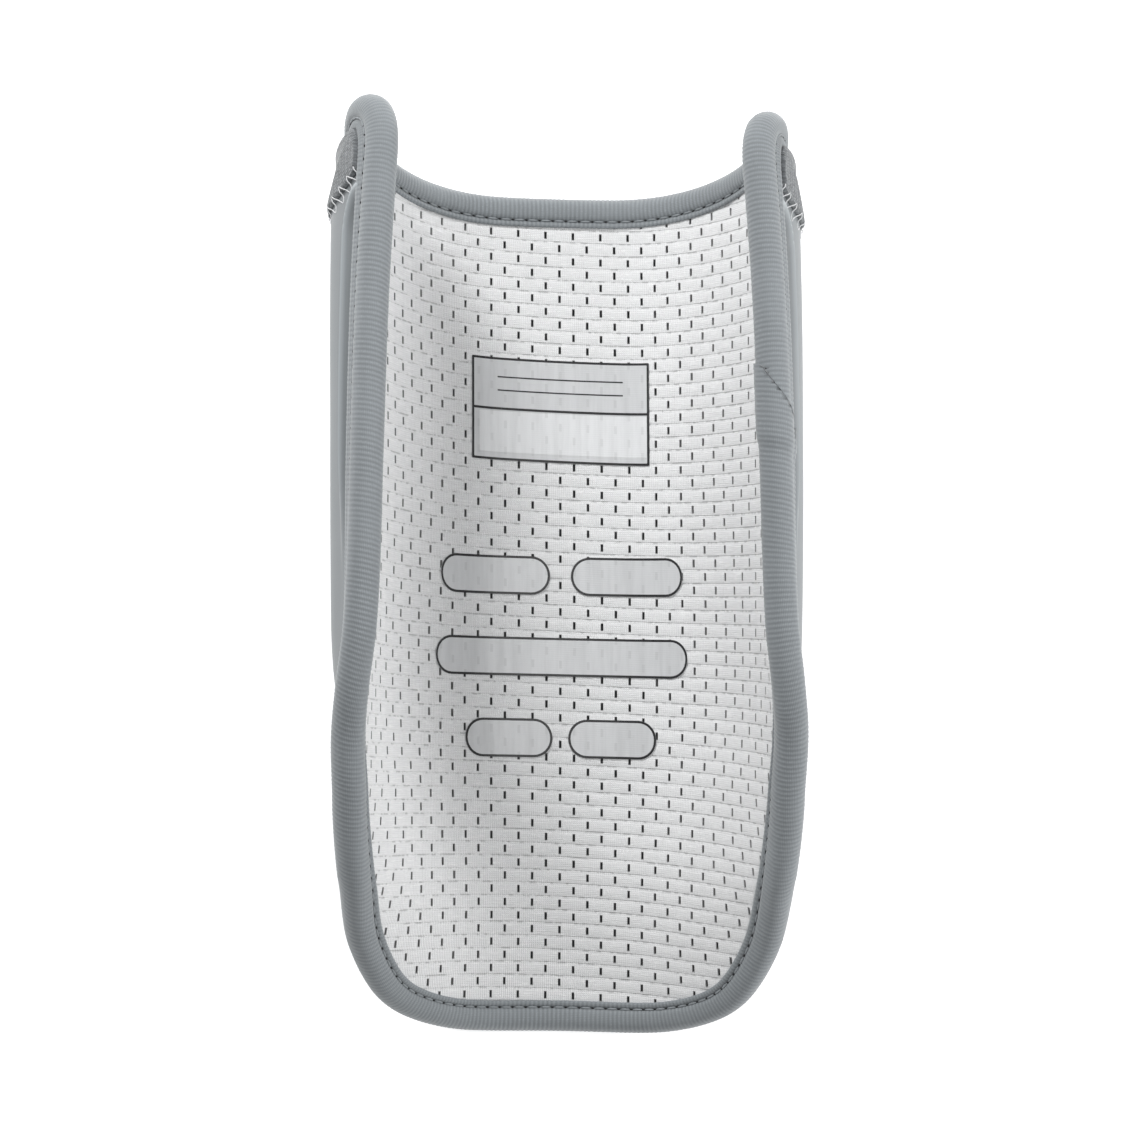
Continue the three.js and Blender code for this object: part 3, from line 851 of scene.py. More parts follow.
class GuardLining(bpy.types.PropertyGroup):
    slit_length: bpy.props.FloatProperty(
        name="Slit Length", description="Length of each slit in the mesh", default=1.85 * MM, unit="LENGTH")
    slit_width: bpy.props.FloatProperty(
        name="Slit Width", description="Width of each slit in the mesh", default=0.6 * MM, unit="LENGTH")
    pitch_across: bpy.props.FloatProperty(
        name="Pitch Across", description="From slit to slit in a row", default=7.2 * MM, unit="LENGTH")
    pitch_along: bpy.props.FloatProperty(
        name="Pitch Along", description="From slit to slit in a column", default=6.86 * MM, unit="LENGTH")
    grain_skew: bpy.props.FloatProperty(
        name="Grain Skew", description="Rise of the rows towards the left", default=0.028)
    puff: bpy.props.FloatProperty(
        name="Puff", description="How far each row stands up between its seams", default=0.26 * MM,
        unit="LENGTH")
    thickness: bpy.props.FloatProperty(
        name="Thickness", description="Thickness of the mesh cloth", default=0.55 * MM, unit="LENGTH")
    color: bpy.props.FloatVectorProperty(
        name="Colour", description="Colour of the mesh cloth", default=(0.87, 0.875, 0.88), subtype="COLOR")


class GuardShell(bpy.types.PropertyGroup):
    bead_height: bpy.props.FloatProperty(
        name="Bead Height", description="Rise of the bead round each wing panel", default=1.1 * MM,
        unit="LENGTH")
    bead_width: bpy.props.FloatProperty(
        name="Bead Width", description="Half width of the bead", default=0.5 * MM, unit="LENGTH")
    recess_depth: bpy.props.FloatProperty(
        name="Recess Depth", description="Depth of each wing panel", default=0.9 * MM, unit="LENGTH")
    panel_width: bpy.props.FloatProperty(
        name="Panel Width", description="From the tape to the bead", default=4.6 * MM, unit="LENGTH")
    color: bpy.props.FloatVectorProperty(
        name="Colour", description="Colour of the shell", default=(0.222, 0.24, 0.251), subtype="COLOR")


class GuardTape(bpy.types.PropertyGroup):
    rib_pitch: bpy.props.FloatProperty(
        name="Rib Pitch", description="From rib to rib round the rim", default=1.15 * MM, unit="LENGTH")
    rib_height: bpy.props.FloatProperty(
        name="Rib Height", description="Height of each rib", default=0.09 * MM, unit="LENGTH")
    thickness: bpy.props.FloatProperty(
        name="Thickness", description="Thickness of the tape", default=0.5 * MM, unit="LENGTH")
    lap_length: bpy.props.FloatProperty(
        name="Lap Length", description="How far the free end lies over the start", default=16 * MM,
        unit="LENGTH")
    stitch_pitch: bpy.props.FloatProperty(
        name="Stitch Pitch", description="From stitch to stitch", default=3.5 * MM, unit="LENGTH")
    color: bpy.props.FloatVectorProperty(
        name="Colour", description="Colour of the tape", default=(0.25, 0.272, 0.287), subtype="COLOR")


class GuardKnit(bpy.types.PropertyGroup):
    thickness: bpy.props.FloatProperty(
        name="Thickness", description="Thickness of the knit", default=1.1 * MM, unit="LENGTH")
    puff: bpy.props.FloatProperty(
        name="Puff", description="How far the knit stands out at its shoulders", default=2.6 * MM,
        unit="LENGTH")
    loop_pitch: bpy.props.FloatProperty(
        name="Loop Pitch", description="From column to column of loops", default=1.1 * MM, unit="LENGTH")
    zigzag_pitch: bpy.props.FloatProperty(
        name="Zigzag Pitch", description="From point to point of the white stitch", default=3.3 * MM,
        unit="LENGTH")
    zigzag_width: bpy.props.FloatProperty(
        name="Zigzag Width", description="Width of the white stitch", default=4 * MM, unit="LENGTH")
    color: bpy.props.FloatVectorProperty(
        name="Colour", description="Colour of the knit", default=(0.225, 0.24, 0.252), subtype="COLOR")
    thread_color: bpy.props.FloatVectorProperty(
        name="Thread Colour", description="Colour of the zigzag thread", default=(0.82, 0.83, 0.84),
        subtype="COLOR")


class GuardPrints(bpy.types.PropertyGroup):
    ink_width: bpy.props.FloatProperty(
        name="Ink Width", description="Width of the black lines", default=0.62 * MM, unit="LENGTH")
    film_thickness: bpy.props.FloatProperty(
        name="Film Thickness", description="Thickness of the film", default=0.2 * MM, unit="LENGTH")
    film_color: bpy.props.FloatVectorProperty(
        name="Film Colour", description="Colour of the film", default=(0.66, 0.67, 0.68), subtype="COLOR")
    panel_color: bpy.props.FloatVectorProperty(
        name="Panel Colour", description="Colour of the label's lower panel", default=(0.8, 0.81, 0.82),
        subtype="COLOR")
    ink_color: bpy.props.FloatVectorProperty(
        name="Ink Colour", description="Colour of the printed lines", default=(0.012, 0.012, 0.013),
        subtype="COLOR")


class GuardStage(bpy.types.PropertyGroup):
    eye_distance: bpy.props.FloatProperty(
        name="Eye Distance", description="From the camera to the guard's back", default=0.95, unit="LENGTH")
    eye_elevation: bpy.props.FloatProperty(
        name="Eye Elevation", description="Camera's height over the floor's horizon",
        default=math.radians(86.3), unit="ROTATION")
    eye_sideways: bpy.props.FloatProperty(
        name="Eye Sideways", description="Camera's lean towards the left", default=math.radians(3.1),
        unit="ROTATION")
    lens: bpy.props.FloatProperty(name="Lens", description="Focal length in millimetres", default=115.9)
    key_power: bpy.props.FloatProperty(
        name="Key Power", description="Light from beyond the upper left", default=7.2, unit="POWER")
    end_power: bpy.props.FloatProperty(
        name="End Power", description="Light from the upper right", default=4.2, unit="POWER")
    right_power: bpy.props.FloatProperty(
        name="Right Power", description="Low light from the lower right", default=2, unit="POWER")
    top_power: bpy.props.FloatProperty(
        name="Top Power", description="Light from overhead", default=2.2, unit="POWER")
    sky: bpy.props.FloatProperty(name="Sky", description="Brightness of the surroundings", default=0.3)
    floor_glow: bpy.props.FloatProperty(
        name="Floor Glow", description="Light that the floor gives off, as a light table", default=0.6)
    floor_color: bpy.props.FloatVectorProperty(
        name="Floor Colour", description="Colour of the floor", default=(0.93, 0.93, 0.93), subtype="COLOR")


# Pieces

class GUARD_OT_lining(bpy.types.Operator):
    """Makes the white mesh lining, with every slit cut through"""

    bl_idname = "guard.lining"
    bl_label = "Mesh Lining"

    def execute(self, context):
        lining = context.scene.guard_lining
        cell, row = lining.pitch_across / 2, lining.pitch_along / 2
        half_slit, half_length = lining.slit_width / 2, lining.slit_length / 2
        columns_out = int(HALF_GIRTH / cell) + 1
        rows_up = int(GUARD_LENGTH / row) + 5
        columns, rows = [], []
        for column in range(-columns_out, columns_out + 1):
            columns += [column * cell - half_slit, column * cell + half_slit, column * cell + cell / 2]
        for level in range(-2, rows_up):
            rows += [level * row - half_length, level * row, level * row + half_length, level * row + row / 2]
        lattice, faces = grid_nodes(np.array(columns), np.array(rows))
        nodes = lattice - np.stack([np.zeros(len(lattice)), lining.grain_skew * lattice[:, 0]], 1)
        width = len(columns)
        corner = faces[:, 0]
        column_of, row_of = corner % width, corner // width
        chequer = ((column_of // 3 - columns_out) + (row_of // 4 - 2)) % 2 == 0
        is_slit = (column_of % 3 == 0) & (row_of % 4 < 2) & chequer
        deep_enough = RIM.inset_of(nodes[faces].mean(axis=1))[0] > TAPE_COVER - row / 2
        faces = faces[~(is_slit & deep_enough)]
        index = np.arange(len(lattice))
        seam = index // width % 4 == 3
        slit_edge = (index % width % 3 < 2) & (index // width % 4 < 3)
        puff = np.where(seam, 0, np.where(slit_edge, 0.6, 1)) * lining.puff
        nodes, faces, used = trimmed_grid(nodes, faces, WALL_INSET)
        puff, lattice = puff[used], lattice[used]
        made = layer_object("lining_mesh", nodes, faces, -puff, lining.thickness - puff, lattice)
        merge_close(made)
        finish_piece(made, lining_finish(lining), ["mesh_lining"], 60)
        return {"FINISHED"}


class GUARD_OT_foam(bpy.types.Operator):
    """Makes the dark foam between the lining and the shell"""

    bl_idname = "guard.foam"
    bl_label = "Foam Core"

    def execute(self, context):
        nodes, faces = grid_nodes(
            np.arange(-HALF_GIRTH, HALF_GIRTH + FOAM_STEP, FOAM_STEP),
            np.arange(-FOAM_STEP, GUARD_LENGTH + FOAM_STEP, FOAM_STEP),
        )
        nodes, faces, _ = trimmed_grid(nodes, faces, FOAM_INSET)
        inset, _ = RIM.inset_of(nodes)
        roll = 1 - smoothstep(inset, FOAM_INSET - MM, FOAM_INSET + FOAM_ROLL)
        squeeze = roll * FOAM_EDGE * FOAM_SQUEEZE
        made = layer_object("foam_core", nodes, faces, FOAM_FACE + squeeze, foam_back(nodes, inset) - squeeze)
        merge_close(made)
        finish_piece(made, foam_finish(), ["foam_pad"])
        return {"FINISHED"}


def wing_relief(nodes, inset, shell):
    """Rise of the bead and fall of the panel beside it on each wing, and where the bead is, for a painted
    highlight along it.
    """
    climb = np.maximum((nodes[:, 1] - BEAD_BEND) / (BEAD_TOP - BEAD_BEND), 0)
    away = shell.panel_width * (np.hypot((inset - TAPE_COVER) / shell.panel_width, climb) - 1)
    shown = smoothstep(nodes[:, 1], BEAD_FADE_LOW, BEAD_FADE_HIGH)
    bead = np.exp(-((away / shell.bead_width) ** 2))
    panel = smoothstep(-away, PANEL_EDGE_START * shell.bead_width, PANEL_EDGE_END * shell.bead_width)
    sunk = shell.recess_depth * panel
    shown *= smoothstep(inset, TAPE_COVER - 2 * MM, TAPE_COVER - MM)
    return (shell.bead_height * bead - sunk) * shown, bead * shown


class GUARD_OT_shell(bpy.types.Operator):
    """Makes the smooth outer shell, with its wing panels and the plate that it rests on"""

    bl_idname = "guard.shell"
    bl_label = "Outer Shell"

    def execute(self, context):
        shell = context.scene.guard_shell
        middle = np.arange(-WING_START, WING_START + 0.1, SHELL_STEP) * MM
        side = np.arange(WING_START + WING_STEP, HALF_GIRTH / MM, WING_STEP) * MM
        columns = np.concatenate([-side[::-1], middle, side])
        lower = np.arange(-SHELL_STEP, BEND_START, SHELL_STEP) * MM
        upper = np.arange(BEND_START, BEND_END, BEND_STEP) * MM
        ears = np.arange(BEND_END, GUARD_LENGTH / MM, SHELL_STEP) * MM
        nodes, faces = grid_nodes(columns, np.concatenate([lower, upper, ears]))
        nodes, faces, _ = trimmed_grid(nodes, faces, WALL_INSET)
        inset, _ = RIM.inset_of(nodes)
        # The second value marks the bead, where the shell's colour gets a painted highlight.
        relief, bead = wing_relief(nodes, inset, shell)
        back = shell_back(nodes, inset) + relief
        made = layer_object("moulded_shell", nodes, faces, foam_back(nodes, inset) + LAYER_GAP, back,
                            np.column_stack([nodes, bead]))
        count = len(nodes)
        plate = smoothstep(-np.abs(nodes[:, 0]), -PLATE_HALF_WIDTH - PLATE_SLOPE, -PLATE_HALF_WIDTH)
        plate *= smoothstep(nodes[:, 1], PLATE_START - PLATE_SLOPE, PLATE_START)
        plate *= smoothstep(-nodes[:, 1], -PLATE_END - PLATE_SLOPE, -PLATE_END)
        for vertex, share in zip(made.data.vertices[count:], plate):
            vertex.co.z *= 1 - share
        merge_close(made)
        finish_piece(made, shell_finish(shell), ["outer_shell"])
        return {"FINISHED"}


def knit_lower_edge(across):
    side = np.abs(across) / (HALF_GIRTH - KNIT_INSET)
    return TOP_MIDDLE - KNIT_DEPTH + KNIT_SIDE_RISE * side**KNIT_SIDE_STEEPNESS


class GUARD_OT_knit(bpy.types.Operator):
    """Makes the knit band over the shell's top, from free edge to free edge"""

    bl_idname = "guard.knit"
    bl_label = "Knit Band"

    def execute(self, context):
        knit = context.scene.guard_knit
        columns, rows = 220, 18
        side_end = HALF_GIRTH - KNIT_INSET
        lowest = float(knit_lower_edge(np.array([side_end]))[0]) + KNIT_END_HEIGHT
        walked = RIM.walked[:-1]
        around = RIM.nodes(walked, np.full(len(walked), KNIT_INSET))
        high = np.flatnonzero(around[:, 1] >= lowest)
        span = np.linspace(walked[high[0]], walked[high[-1]], columns + 1)
        upper = RIM.nodes(span, np.full(len(span), KNIT_INSET))
        across = side_end * (1 - 2 * np.arange(columns + 1) / columns)
        lower = np.stack([across, knit_lower_edge(across)], 1)
        share = np.arange(rows + 1)[:, None, None] / rows
        nodes = blend(upper[None], lower[None], share).reshape(-1, 2)
        _, faces = grid_nodes(np.arange(columns + 1), np.arange(rows + 1))
        place = np.arange(len(nodes))
        column_of, row_of = place % (columns + 1), place // (columns + 1)
        rim_steps = np.minimum(np.minimum(row_of, rows - row_of), np.minimum(column_of, columns - column_of))
        rounding = np.where(rim_steps == 0, KNIT_EDGE_SHARE, 1.0)
        inset, _ = RIM.inset_of(nodes)
        face = shell_back(nodes, inset) + KNIT_STANDOFF
        shoulder = np.exp(-(((np.abs(nodes[:, 0]) - SHOULDER_ACROSS) / SHOULDER_SPREAD) ** 2))
        puff = knit.puff * shoulder * (1 - smoothstep(inset, KNIT_INSET, SHOULDER_END))
        puff *= 1 - smoothstep(row_of / rows, SHOULDER_FADE, 1)
        made = layer_object("knit_cover", nodes, faces, face, face + knit.thickness * rounding + puff)
        merge_close(made)
        finish_piece(made, knit_finish(knit), ["knit_band"])
        return {"FINISHED"}


def tube_object(name, path, radius, sides=TUBE_SIDES):
    """Closed round tube along a path."""
    tangent = unit(np.gradient(path, axis=0))
    helper = np.tile((0.0, 0.0, 1.0), (len(path), 1))
    helper[np.abs(tangent[:, 2]) > 0.9] = (1.0, 0.0, 0.0)
    first = unit(np.cross(tangent, helper))
    second = np.cross(tangent, first)
    turn = 2 * np.pi * np.arange(sides) / sides
    ring = first[:, None] * np.cos(turn)[None, :, None] + second[:, None] * np.sin(turn)[None, :, None]
    points = (path[:, None] + ring * radius).reshape(-1, 3)
    faces = []
    for step in range(len(path) - 1):
        for side in range(sides):
            here, beside = step * sides + side, step * sides + (side + 1) % sides
            faces.append([here, beside, beside + sides, here + sides])
    faces.append(list(range(sides))[::-1])
    faces.append([len(points) - sides + side for side in range(sides)])
    return mesh_object(name, points, faces)


class GUARD_OT_zigzag(bpy.types.Operator):
    """Makes the white zigzag thread along the knit's lower edge"""

    bl_idname = "guard.zigzag"
    bl_label = "Zigzag Thread"

    def execute(self, context):
        knit = context.scene.guard_knit
        side_end = HALF_GIRTH - KNIT_INSET
        across = np.linspace(-side_end, side_end, ZIGZAG_SAMPLES)
        edge = np.stack([across, knit_lower_edge(across)], 1)
        walked = np.concatenate([[0], np.cumsum(np.linalg.norm(np.diff(edge, axis=0), axis=1))])
        legs = int(2 * walked[-1] / knit.zigzag_pitch)
        place = np.arange(legs * ZIGZAG_PARTS + 1) / ZIGZAG_PARTS
        at = place * walked[-1] / legs
        middle = np.stack([np.interp(at, walked, edge[:, axis]) for axis in (0, 1)], 1)
        tangent = unit(np.gradient(middle, axis=0))
        upward = np.stack([-tangent[:, 1], tangent[:, 0]], 1)
        swing = np.abs(np.mod(place, 2) - 1)
        swing = smoothstep(swing, -ZIGZAG_ROUNDING, 1 + ZIGZAG_ROUNDING) * 1.1 - 0.05
        uneven = 1 + ZIGZAG_UNEVENNESS * np.sin(np.floor(place) * 2.4)
        shift = (swing - ZIGZAG_BELOW_EDGE) * knit.zigzag_width * uneven
        nodes = middle + upward * shift[:, None]
        inset, _ = RIM.inset_of(nodes)
        clear_of_tape = inset > TAPE_COVER
        over_knit = smoothstep(shift, -1.2 * MM, 0.2 * MM)
        offset = shell_back(nodes, inset) + blend(0.12 * MM, knit.thickness + 0.2 * MM, over_knit)
        offset -= ZIGZAG_SINK * np.sin(place * 1.7) ** 2
        made = tube_object("zigzag_thread", wall_points(nodes, offset)[clear_of_tape], ZIGZAG_RADIUS)
        finish_piece(made, thread_finish("white_zigzag_thread", knit.thread_color), angle=80)
        return {"FINISHED"}


def tape_profile():
    """Outer face of the folded tape: rows of (inset, offset), from the lining's side to the shell's."""
    half = EDGE_THICKNESS / 2
    face = TAPE_STANDOFF
    legs = [
        [
            (TAPE_COVER, 0.12 * MM),
            (TAPE_COVER + 0.05 * MM, 0.6 * MM),
            (TAPE_COVER - 0.3 * MM, face - 0.1 * MM),
            ((TAPE_COVER + stitches) / 2, face),
            (stitches, face - STITCH_SINK),
            (stitches - 0.6 * MM, face + 0.1 * MM),
            (stitches - 1.4 * MM, face + 0.5 * MM),
        ]
        for stitches in (STITCH_INSET, OUTER_STITCH_INSET)
    ]
    inner = [(inset, -height) for inset, height in legs[0]]
    nose = [
        (WALL_INSET - NOSE_REACH * math.sin(angle), half - (half + NOSE_RISE) * math.cos(angle))
        for angle in np.linspace(0, np.pi, NOSE_POINTS)
    ]
    outer = [(inset, 2 * half + height) for inset, height in legs[1][::-1]]
    return np.array(inner + nose + outer)


def profile_normals(profile):
    """Direction away from the wall at each point of the tape's profile."""
    step = np.gradient(profile, axis=0)
    return unit(np.stack([step[:, 1], -step[:, 0]], 1)) * (-1)


class GUARD_OT_tape(bpy.types.Operator):
    """Makes the ribbed tape folded round the rim, with its free end lapped over on the right"""

    bl_idname = "guard.tape"
    bl_label = "Edge Tape"

    def execute(self, context):
        tape = context.scene.guard_tape
        ribs = round(RIM.length / tape.rib_pitch)
        pitch = RIM.length / ribs
        samples = 4
        lap_ribs = round(tape.lap_length / pitch)
        end = RIM.walked_at(1, LAP_SHARE * GUARD_LENGTH)
        start = end - lap_ribs * pitch
        sections = (ribs + lap_ribs) * samples + 1
        walked = start + np.arange(sections) * pitch / samples
        outer = tape_profile()
        inner = outer - profile_normals(outer) * tape.thickness
        normals = profile_normals(outer)
        back = np.arange(len(outer) - 1, -1, -2)
        profile = np.concatenate([outer, inner[back]])
        away = np.concatenate([normals, normals[back]])
        steps = np.linalg.norm(np.diff(outer, axis=0), axis=1)
        width = np.concatenate([[0], np.cumsum(steps)])
        width -= width[-1] / 2
        grooves = [float(width[4]), float(width[-5])]
        width = np.concatenate([width, width[back]])
        is_outer = np.arange(len(profile)) < len(outer)
        rib = np.abs(np.mod(np.arange(sections), samples) / samples - 0.5) * 2
        rib = (rib - 0.5) * tape.rib_height
        beyond = walked - (start + RIM.length)
        lap = smoothstep(beyond, -LAP_RAMP, 0) * tape.thickness * LAP_LIFT
        skew = self.skew(walked, end, beyond)
        at = walked[:, None] + skew[:, None] * width[None, :]
        cut = end + RIM.length + CUT_AHEAD - CUT_SLANT * (width + CUT_SHIFT)
        at = np.minimum(at, np.maximum(cut, start + RIM.length + CUT_LEAST)[None, :])
        lift = lap[:, None] + np.where(is_outer, rib[:, None], 0)
        inset = profile[None, :, 0] + away[None, :, 0] * lift
        offset = profile[None, :, 1] + away[None, :, 1] * lift
        nodes = RIM.nodes(at.ravel(), inset.ravel())
        points = wall_points(nodes, offset.ravel())
        count = len(profile)
        here = np.arange((sections - 1) * count)
        beside = here - here % count + (here % count + 1) % count
        faces = np.stack([here, here + count, beside + count, beside], 1).tolist()
        faces.append(list(range(count)))
        faces.append([(sections - 1) * count + index for index in range(count)][::-1])
        made = mesh_object("ribbed_tape", points, faces)
        phase = np.repeat(np.arange(sections) / samples, count)
        # Strip along the lap's cut end that gets painted shade.
        crease_shade = (at >= (cut - CREASE_SHADE_WIDTH)[None, :]) & (beyond > 0)[:, None]
        places = np.stack([phase, np.tile(width, sections), crease_shade.ravel() * CREASE_SHADE_SHARE], 1)
        set_pattern(made, places)
        merge_close(made, 0.01 * MM)
        finish_piece(made, tape_finish(tape, grooves), ["edge_binding"], 70)
        return {"FINISHED"}

    def skew(self, walked, end, beyond):
        """How far the ribs lean along the rim for each length across the tape."""
        round_rim = np.mod(walked, RIM.length)
        left = smoothstep(round_rim, *(RIM.length * share for share in LEFT_LEAN_START))
        left *= 1 - smoothstep(round_rim, *(RIM.length * share for share in LEFT_LEAN_END))
        right_low = smoothstep(beyond, -RIGHT_LEAN_START[0], -RIGHT_LEAN_START[1])
        return -LEFT_LEAN * left - RIGHT_LEAN * right_low


def scattered(name, template, centres, tangents, normals):
    """One object with a copy of the template's mesh at each place."""
    points = np.array([vertex.co for vertex in template.data.vertices])
    faces = [list(face.vertices) for face in template.data.polygons]
    side = unit(np.cross(normals, tangents))
    upright = unit(np.cross(tangents, side))
    placed = (
        centres[:, None]
        + tangents[:, None] * points[None, :, :1]
        + side[:, None] * points[None, :, 1:2]
        + upright[:, None] * points[None, :, 2:]
    )
    count = len(points)
    solid = [[copy * count + index for index in face] for copy in range(len(centres)) for face in faces]
    bpy.data.objects.remove(template)
    return mesh_object(name, placed.reshape(-1, 3), solid)


def bead_template(name, length, width, height):
    """A small rounded lump, modelled once for all its copies."""
    bpy.ops.object.select_all(action="DESELECT")
    bpy.ops.mesh.primitive_uv_sphere_add(segments=8, ring_count=6, radius=1, location=(0, 0, 0))
    made = bpy.context.active_object
    made.name = name
    bpy.ops.object.mode_set(mode="EDIT")
    bpy.ops.mesh.select_all(action="SELECT")
    bpy.ops.transform.rotate(value=math.pi / 2, orient_axis="Y", center_override=(0, 0, 0))
    bpy.ops.transform.resize(value=(length / 2, width / 2, height / 2), center_override=(0, 0, 0))
    bpy.ops.object.mode_set(mode="OBJECT")
    return made


class GUARD_OT_stitches(bpy.types.Operator):
    """Makes the sewn lines along both edges of the tape: threads, and dark lumps between them as painted
    shadow in each needle hole
    """

    bl_idname = "guard.stitches"
    bl_label = "Tape Stitches"

    def execute(self, context):
        tape = context.scene.guard_tape
        count = round(RIM.length / tape.stitch_pitch)
        for side, base, outward, depth in (
            ("inner", -STITCH_STANDOFF, -1, STITCH_INSET),
            ("outer", EDGE_THICKNESS + STITCH_STANDOFF, 1, OUTER_STITCH_INSET),
        ):
            for kind, shift, length, width, rise in STITCH_PARTS:
                walked = (np.arange(count) + shift) * RIM.length / count
                inset = np.full(count, depth)
                centres = wall_points(RIM.nodes(walked, inset), np.full(count, base))
                ahead = wall_points(RIM.nodes(walked + STITCH_AHEAD, inset), np.full(count, base))
                normals = inward_normals(RIM.nodes(walked, inset)) * -outward
                template = bead_template("stitch_template", length, width, rise)
                made = scattered(f"{side}_stitch_{kind}", template, centres, unit(ahead - centres), normals)
                # The dark lumps get the painted shadow finish.
                material = (
                    thread_finish(f"{side}_stitch_grey", shade(tape.color, 1.12))
                    if kind == "thread"
                    else hole_shadow_finish()
                )
                finish_piece(made, material, angle=80)
        return {"FINISHED"}


def rounded_loop(centre, half_width, half_height, radius):
    """Closed outline of a rounded rectangle, counter-clockwise."""
    places = []
    corners = ((1, -1, -90), (1, 1, 0), (-1, 1, 90), (-1, -1, 180))
    for right, up, start in corners:
        middle = np.array([right * (half_width - radius), up * (half_height - radius)])
        for turn in np.radians(start + np.linspace(0, 90, 9)):
            places.append(middle + radius * np.array([math.cos(turn), math.sin(turn)]))
    loop = []
    for place, following in zip(places, places[1:] + places[:1]):
        parts = max(int(np.linalg.norm(following - place) / PRINT_STEP), 1)
        loop += [blend(place, following, part / parts) for part in range(parts)]
    kept = [loop[0]]
    for place in loop[1:]:
        if np.linalg.norm(place - kept[-1]) > 0.01 * MM:
            kept.append(place)
    return np.array(kept) + centre


def filled_shape(centre, half_width, half_height, radius, line_width):
    """Nodes and triangles of a rounded rectangle, and which triangles are its outline."""
    outer = rounded_loop(centre, half_width, half_height, radius)
    rings = [outer]
    if line_width:
        rings.append(rounded_loop(centre, half_width - line_width, half_height - line_width,
                                  max(radius - line_width, LEAST_CORNER)))
    room = line_width + PRINT_ROOM
    inner = [
        centre + np.array([x, y])
        for x in np.arange(-half_width, half_width, PRINT_STEP)
        for y in np.arange(-half_height, half_height, PRINT_STEP)
        if rounded_depth(x, y, half_width, half_height, radius) > room
    ]
    places, edges = [], []
    for ring in rings:
        first = len(places)
        places += [Vector(place) / MM for place in ring]
        edges += [(first + index, first + (index + 1) % len(ring)) for index in range(len(ring))]
    places += [Vector(place) / MM for place in inner]
    found, _, triangles, *_ = geometry.delaunay_2d_cdt(places, edges, [], 0, 1e-5)
    nodes = np.array([tuple(place) for place in found]) * MM
    faces = np.array([face for face in triangles if len(face) == 3])
    away = nodes[faces].mean(axis=1) - centre
    depth = np.array([rounded_depth(x, y, half_width, half_height, radius) for x, y in away])
    return nodes, faces, depth < line_width


def rounded_depth(x, y, half_width, half_height, radius):
    """How far a place lies inside a rounded rectangle."""
    right, up = abs(x) - (half_width - radius), abs(y) - (half_height - radius)
    outside = math.hypot(max(right, 0), max(up, 0))
    return radius - outside - min(max(right, up), 0)


def film_piece(name, shape, base, thickness, material, ink, replaced):
    """A film on the lining, with its outline in ink."""
    nodes, faces, is_line = shape
    nodes = tilted(nodes) if name.startswith("label") else nodes
    count = len(nodes)
    lattice = nodes + np.stack([np.zeros(count), bpy.context.scene.guard_lining.grain_skew * nodes[:, 0]], 1)
    made = layer_object(name, nodes, faces, np.full(count, -base - thickness), np.full(count, -base), lattice)
    made.data.materials.append(material)
    made.data.materials.append(ink)
    for face, line in zip(made.data.polygons, is_line):
        face.material_index = int(line)
    finish_piece(made, material, replaced)


class GUARD_OT_prints(bpy.types.Operator):
    """Makes the label and the bars of the motif, as thin films with black outlines"""

    bl_idname = "guard.prints"
    bl_label = "Prints"

    def execute(self, context):
        prints, lining = context.scene.guard_prints, context.scene.guard_lining
        film = film_finish("glossy_film", prints.film_color, lining)
        panel = film_finish("label_panel_film", prints.panel_color, lining)
        ink = ink_finish(prints)
        base = lining.puff + FILM_LIFT
        thickness, line = prints.film_thickness, prints.ink_width
        label_at = np.array([0, LABEL_UP])
        half_width, half_height = LABEL_SIZE[0] / 2, LABEL_SIZE[1] / 2
        label = filled_shape(label_at, half_width, half_height, LABEL_CORNER, line)
        film_piece("label_sheet", label, base, thickness, film, ink, ["label_film"])
        for name, across, along, length in MOTIF_BARS:
            centre = np.array([across * MOTIF_SIZE[0], MOTIF_UP + along * (MOTIF_SIZE[1] - BAR_HEIGHT)])
            bar = filled_shape(centre, length * MOTIF_SIZE[0] / 2, BAR_HEIGHT / 2,
                               BAR_HEIGHT / 2 - 0.1 * MM, line)
            film_piece(f"{name}_film", bar, base, thickness, film, ink, [name])
        over = base + thickness + PANEL_LIFT
        panel_at = label_at + (PANEL_MARGIN / 2, -half_height / 2 + PANEL_MARGIN / 2)
        lower = filled_shape(panel_at, half_width - PANEL_MARGIN, half_height / 2 - PANEL_MARGIN,
                             LABEL_CORNER, 0)
        film_piece("label_panel", lower, over, PRINT_RELIEF, panel, ink, [])
        for name, up, width, height in (
            ("label_divider", 0, LABEL_SIZE[0] - line, line),
            ("label_rule_upper", 0.31, LABEL_SIZE[0] * RULE_WIDTH, line * RULE_THICKNESS),
            ("label_rule_lower", 0.18, LABEL_SIZE[0] * RULE_WIDTH, line * RULE_THICKNESS),
        ):
            shape = filled_shape(label_at + (0, up * LABEL_SIZE[1]), width / 2, height / 2, height * 0.3, 0)
            film_piece(name, shape, over, PRINT_RELIEF, ink, ink, [])
        return {"FINISHED"}


def area_light(name, place, size, power):
    bpy.ops.object.light_add(type="AREA", location=place)
    light = bpy.context.active_object
    light.name = name
    light.data.energy = power
    light.data.shape = "DISK"
    light.data.size = size
    light.rotation_euler = (Vector(LIGHT_TARGET) - Vector(place)).to_track_quat("-Z", "Y").to_euler()


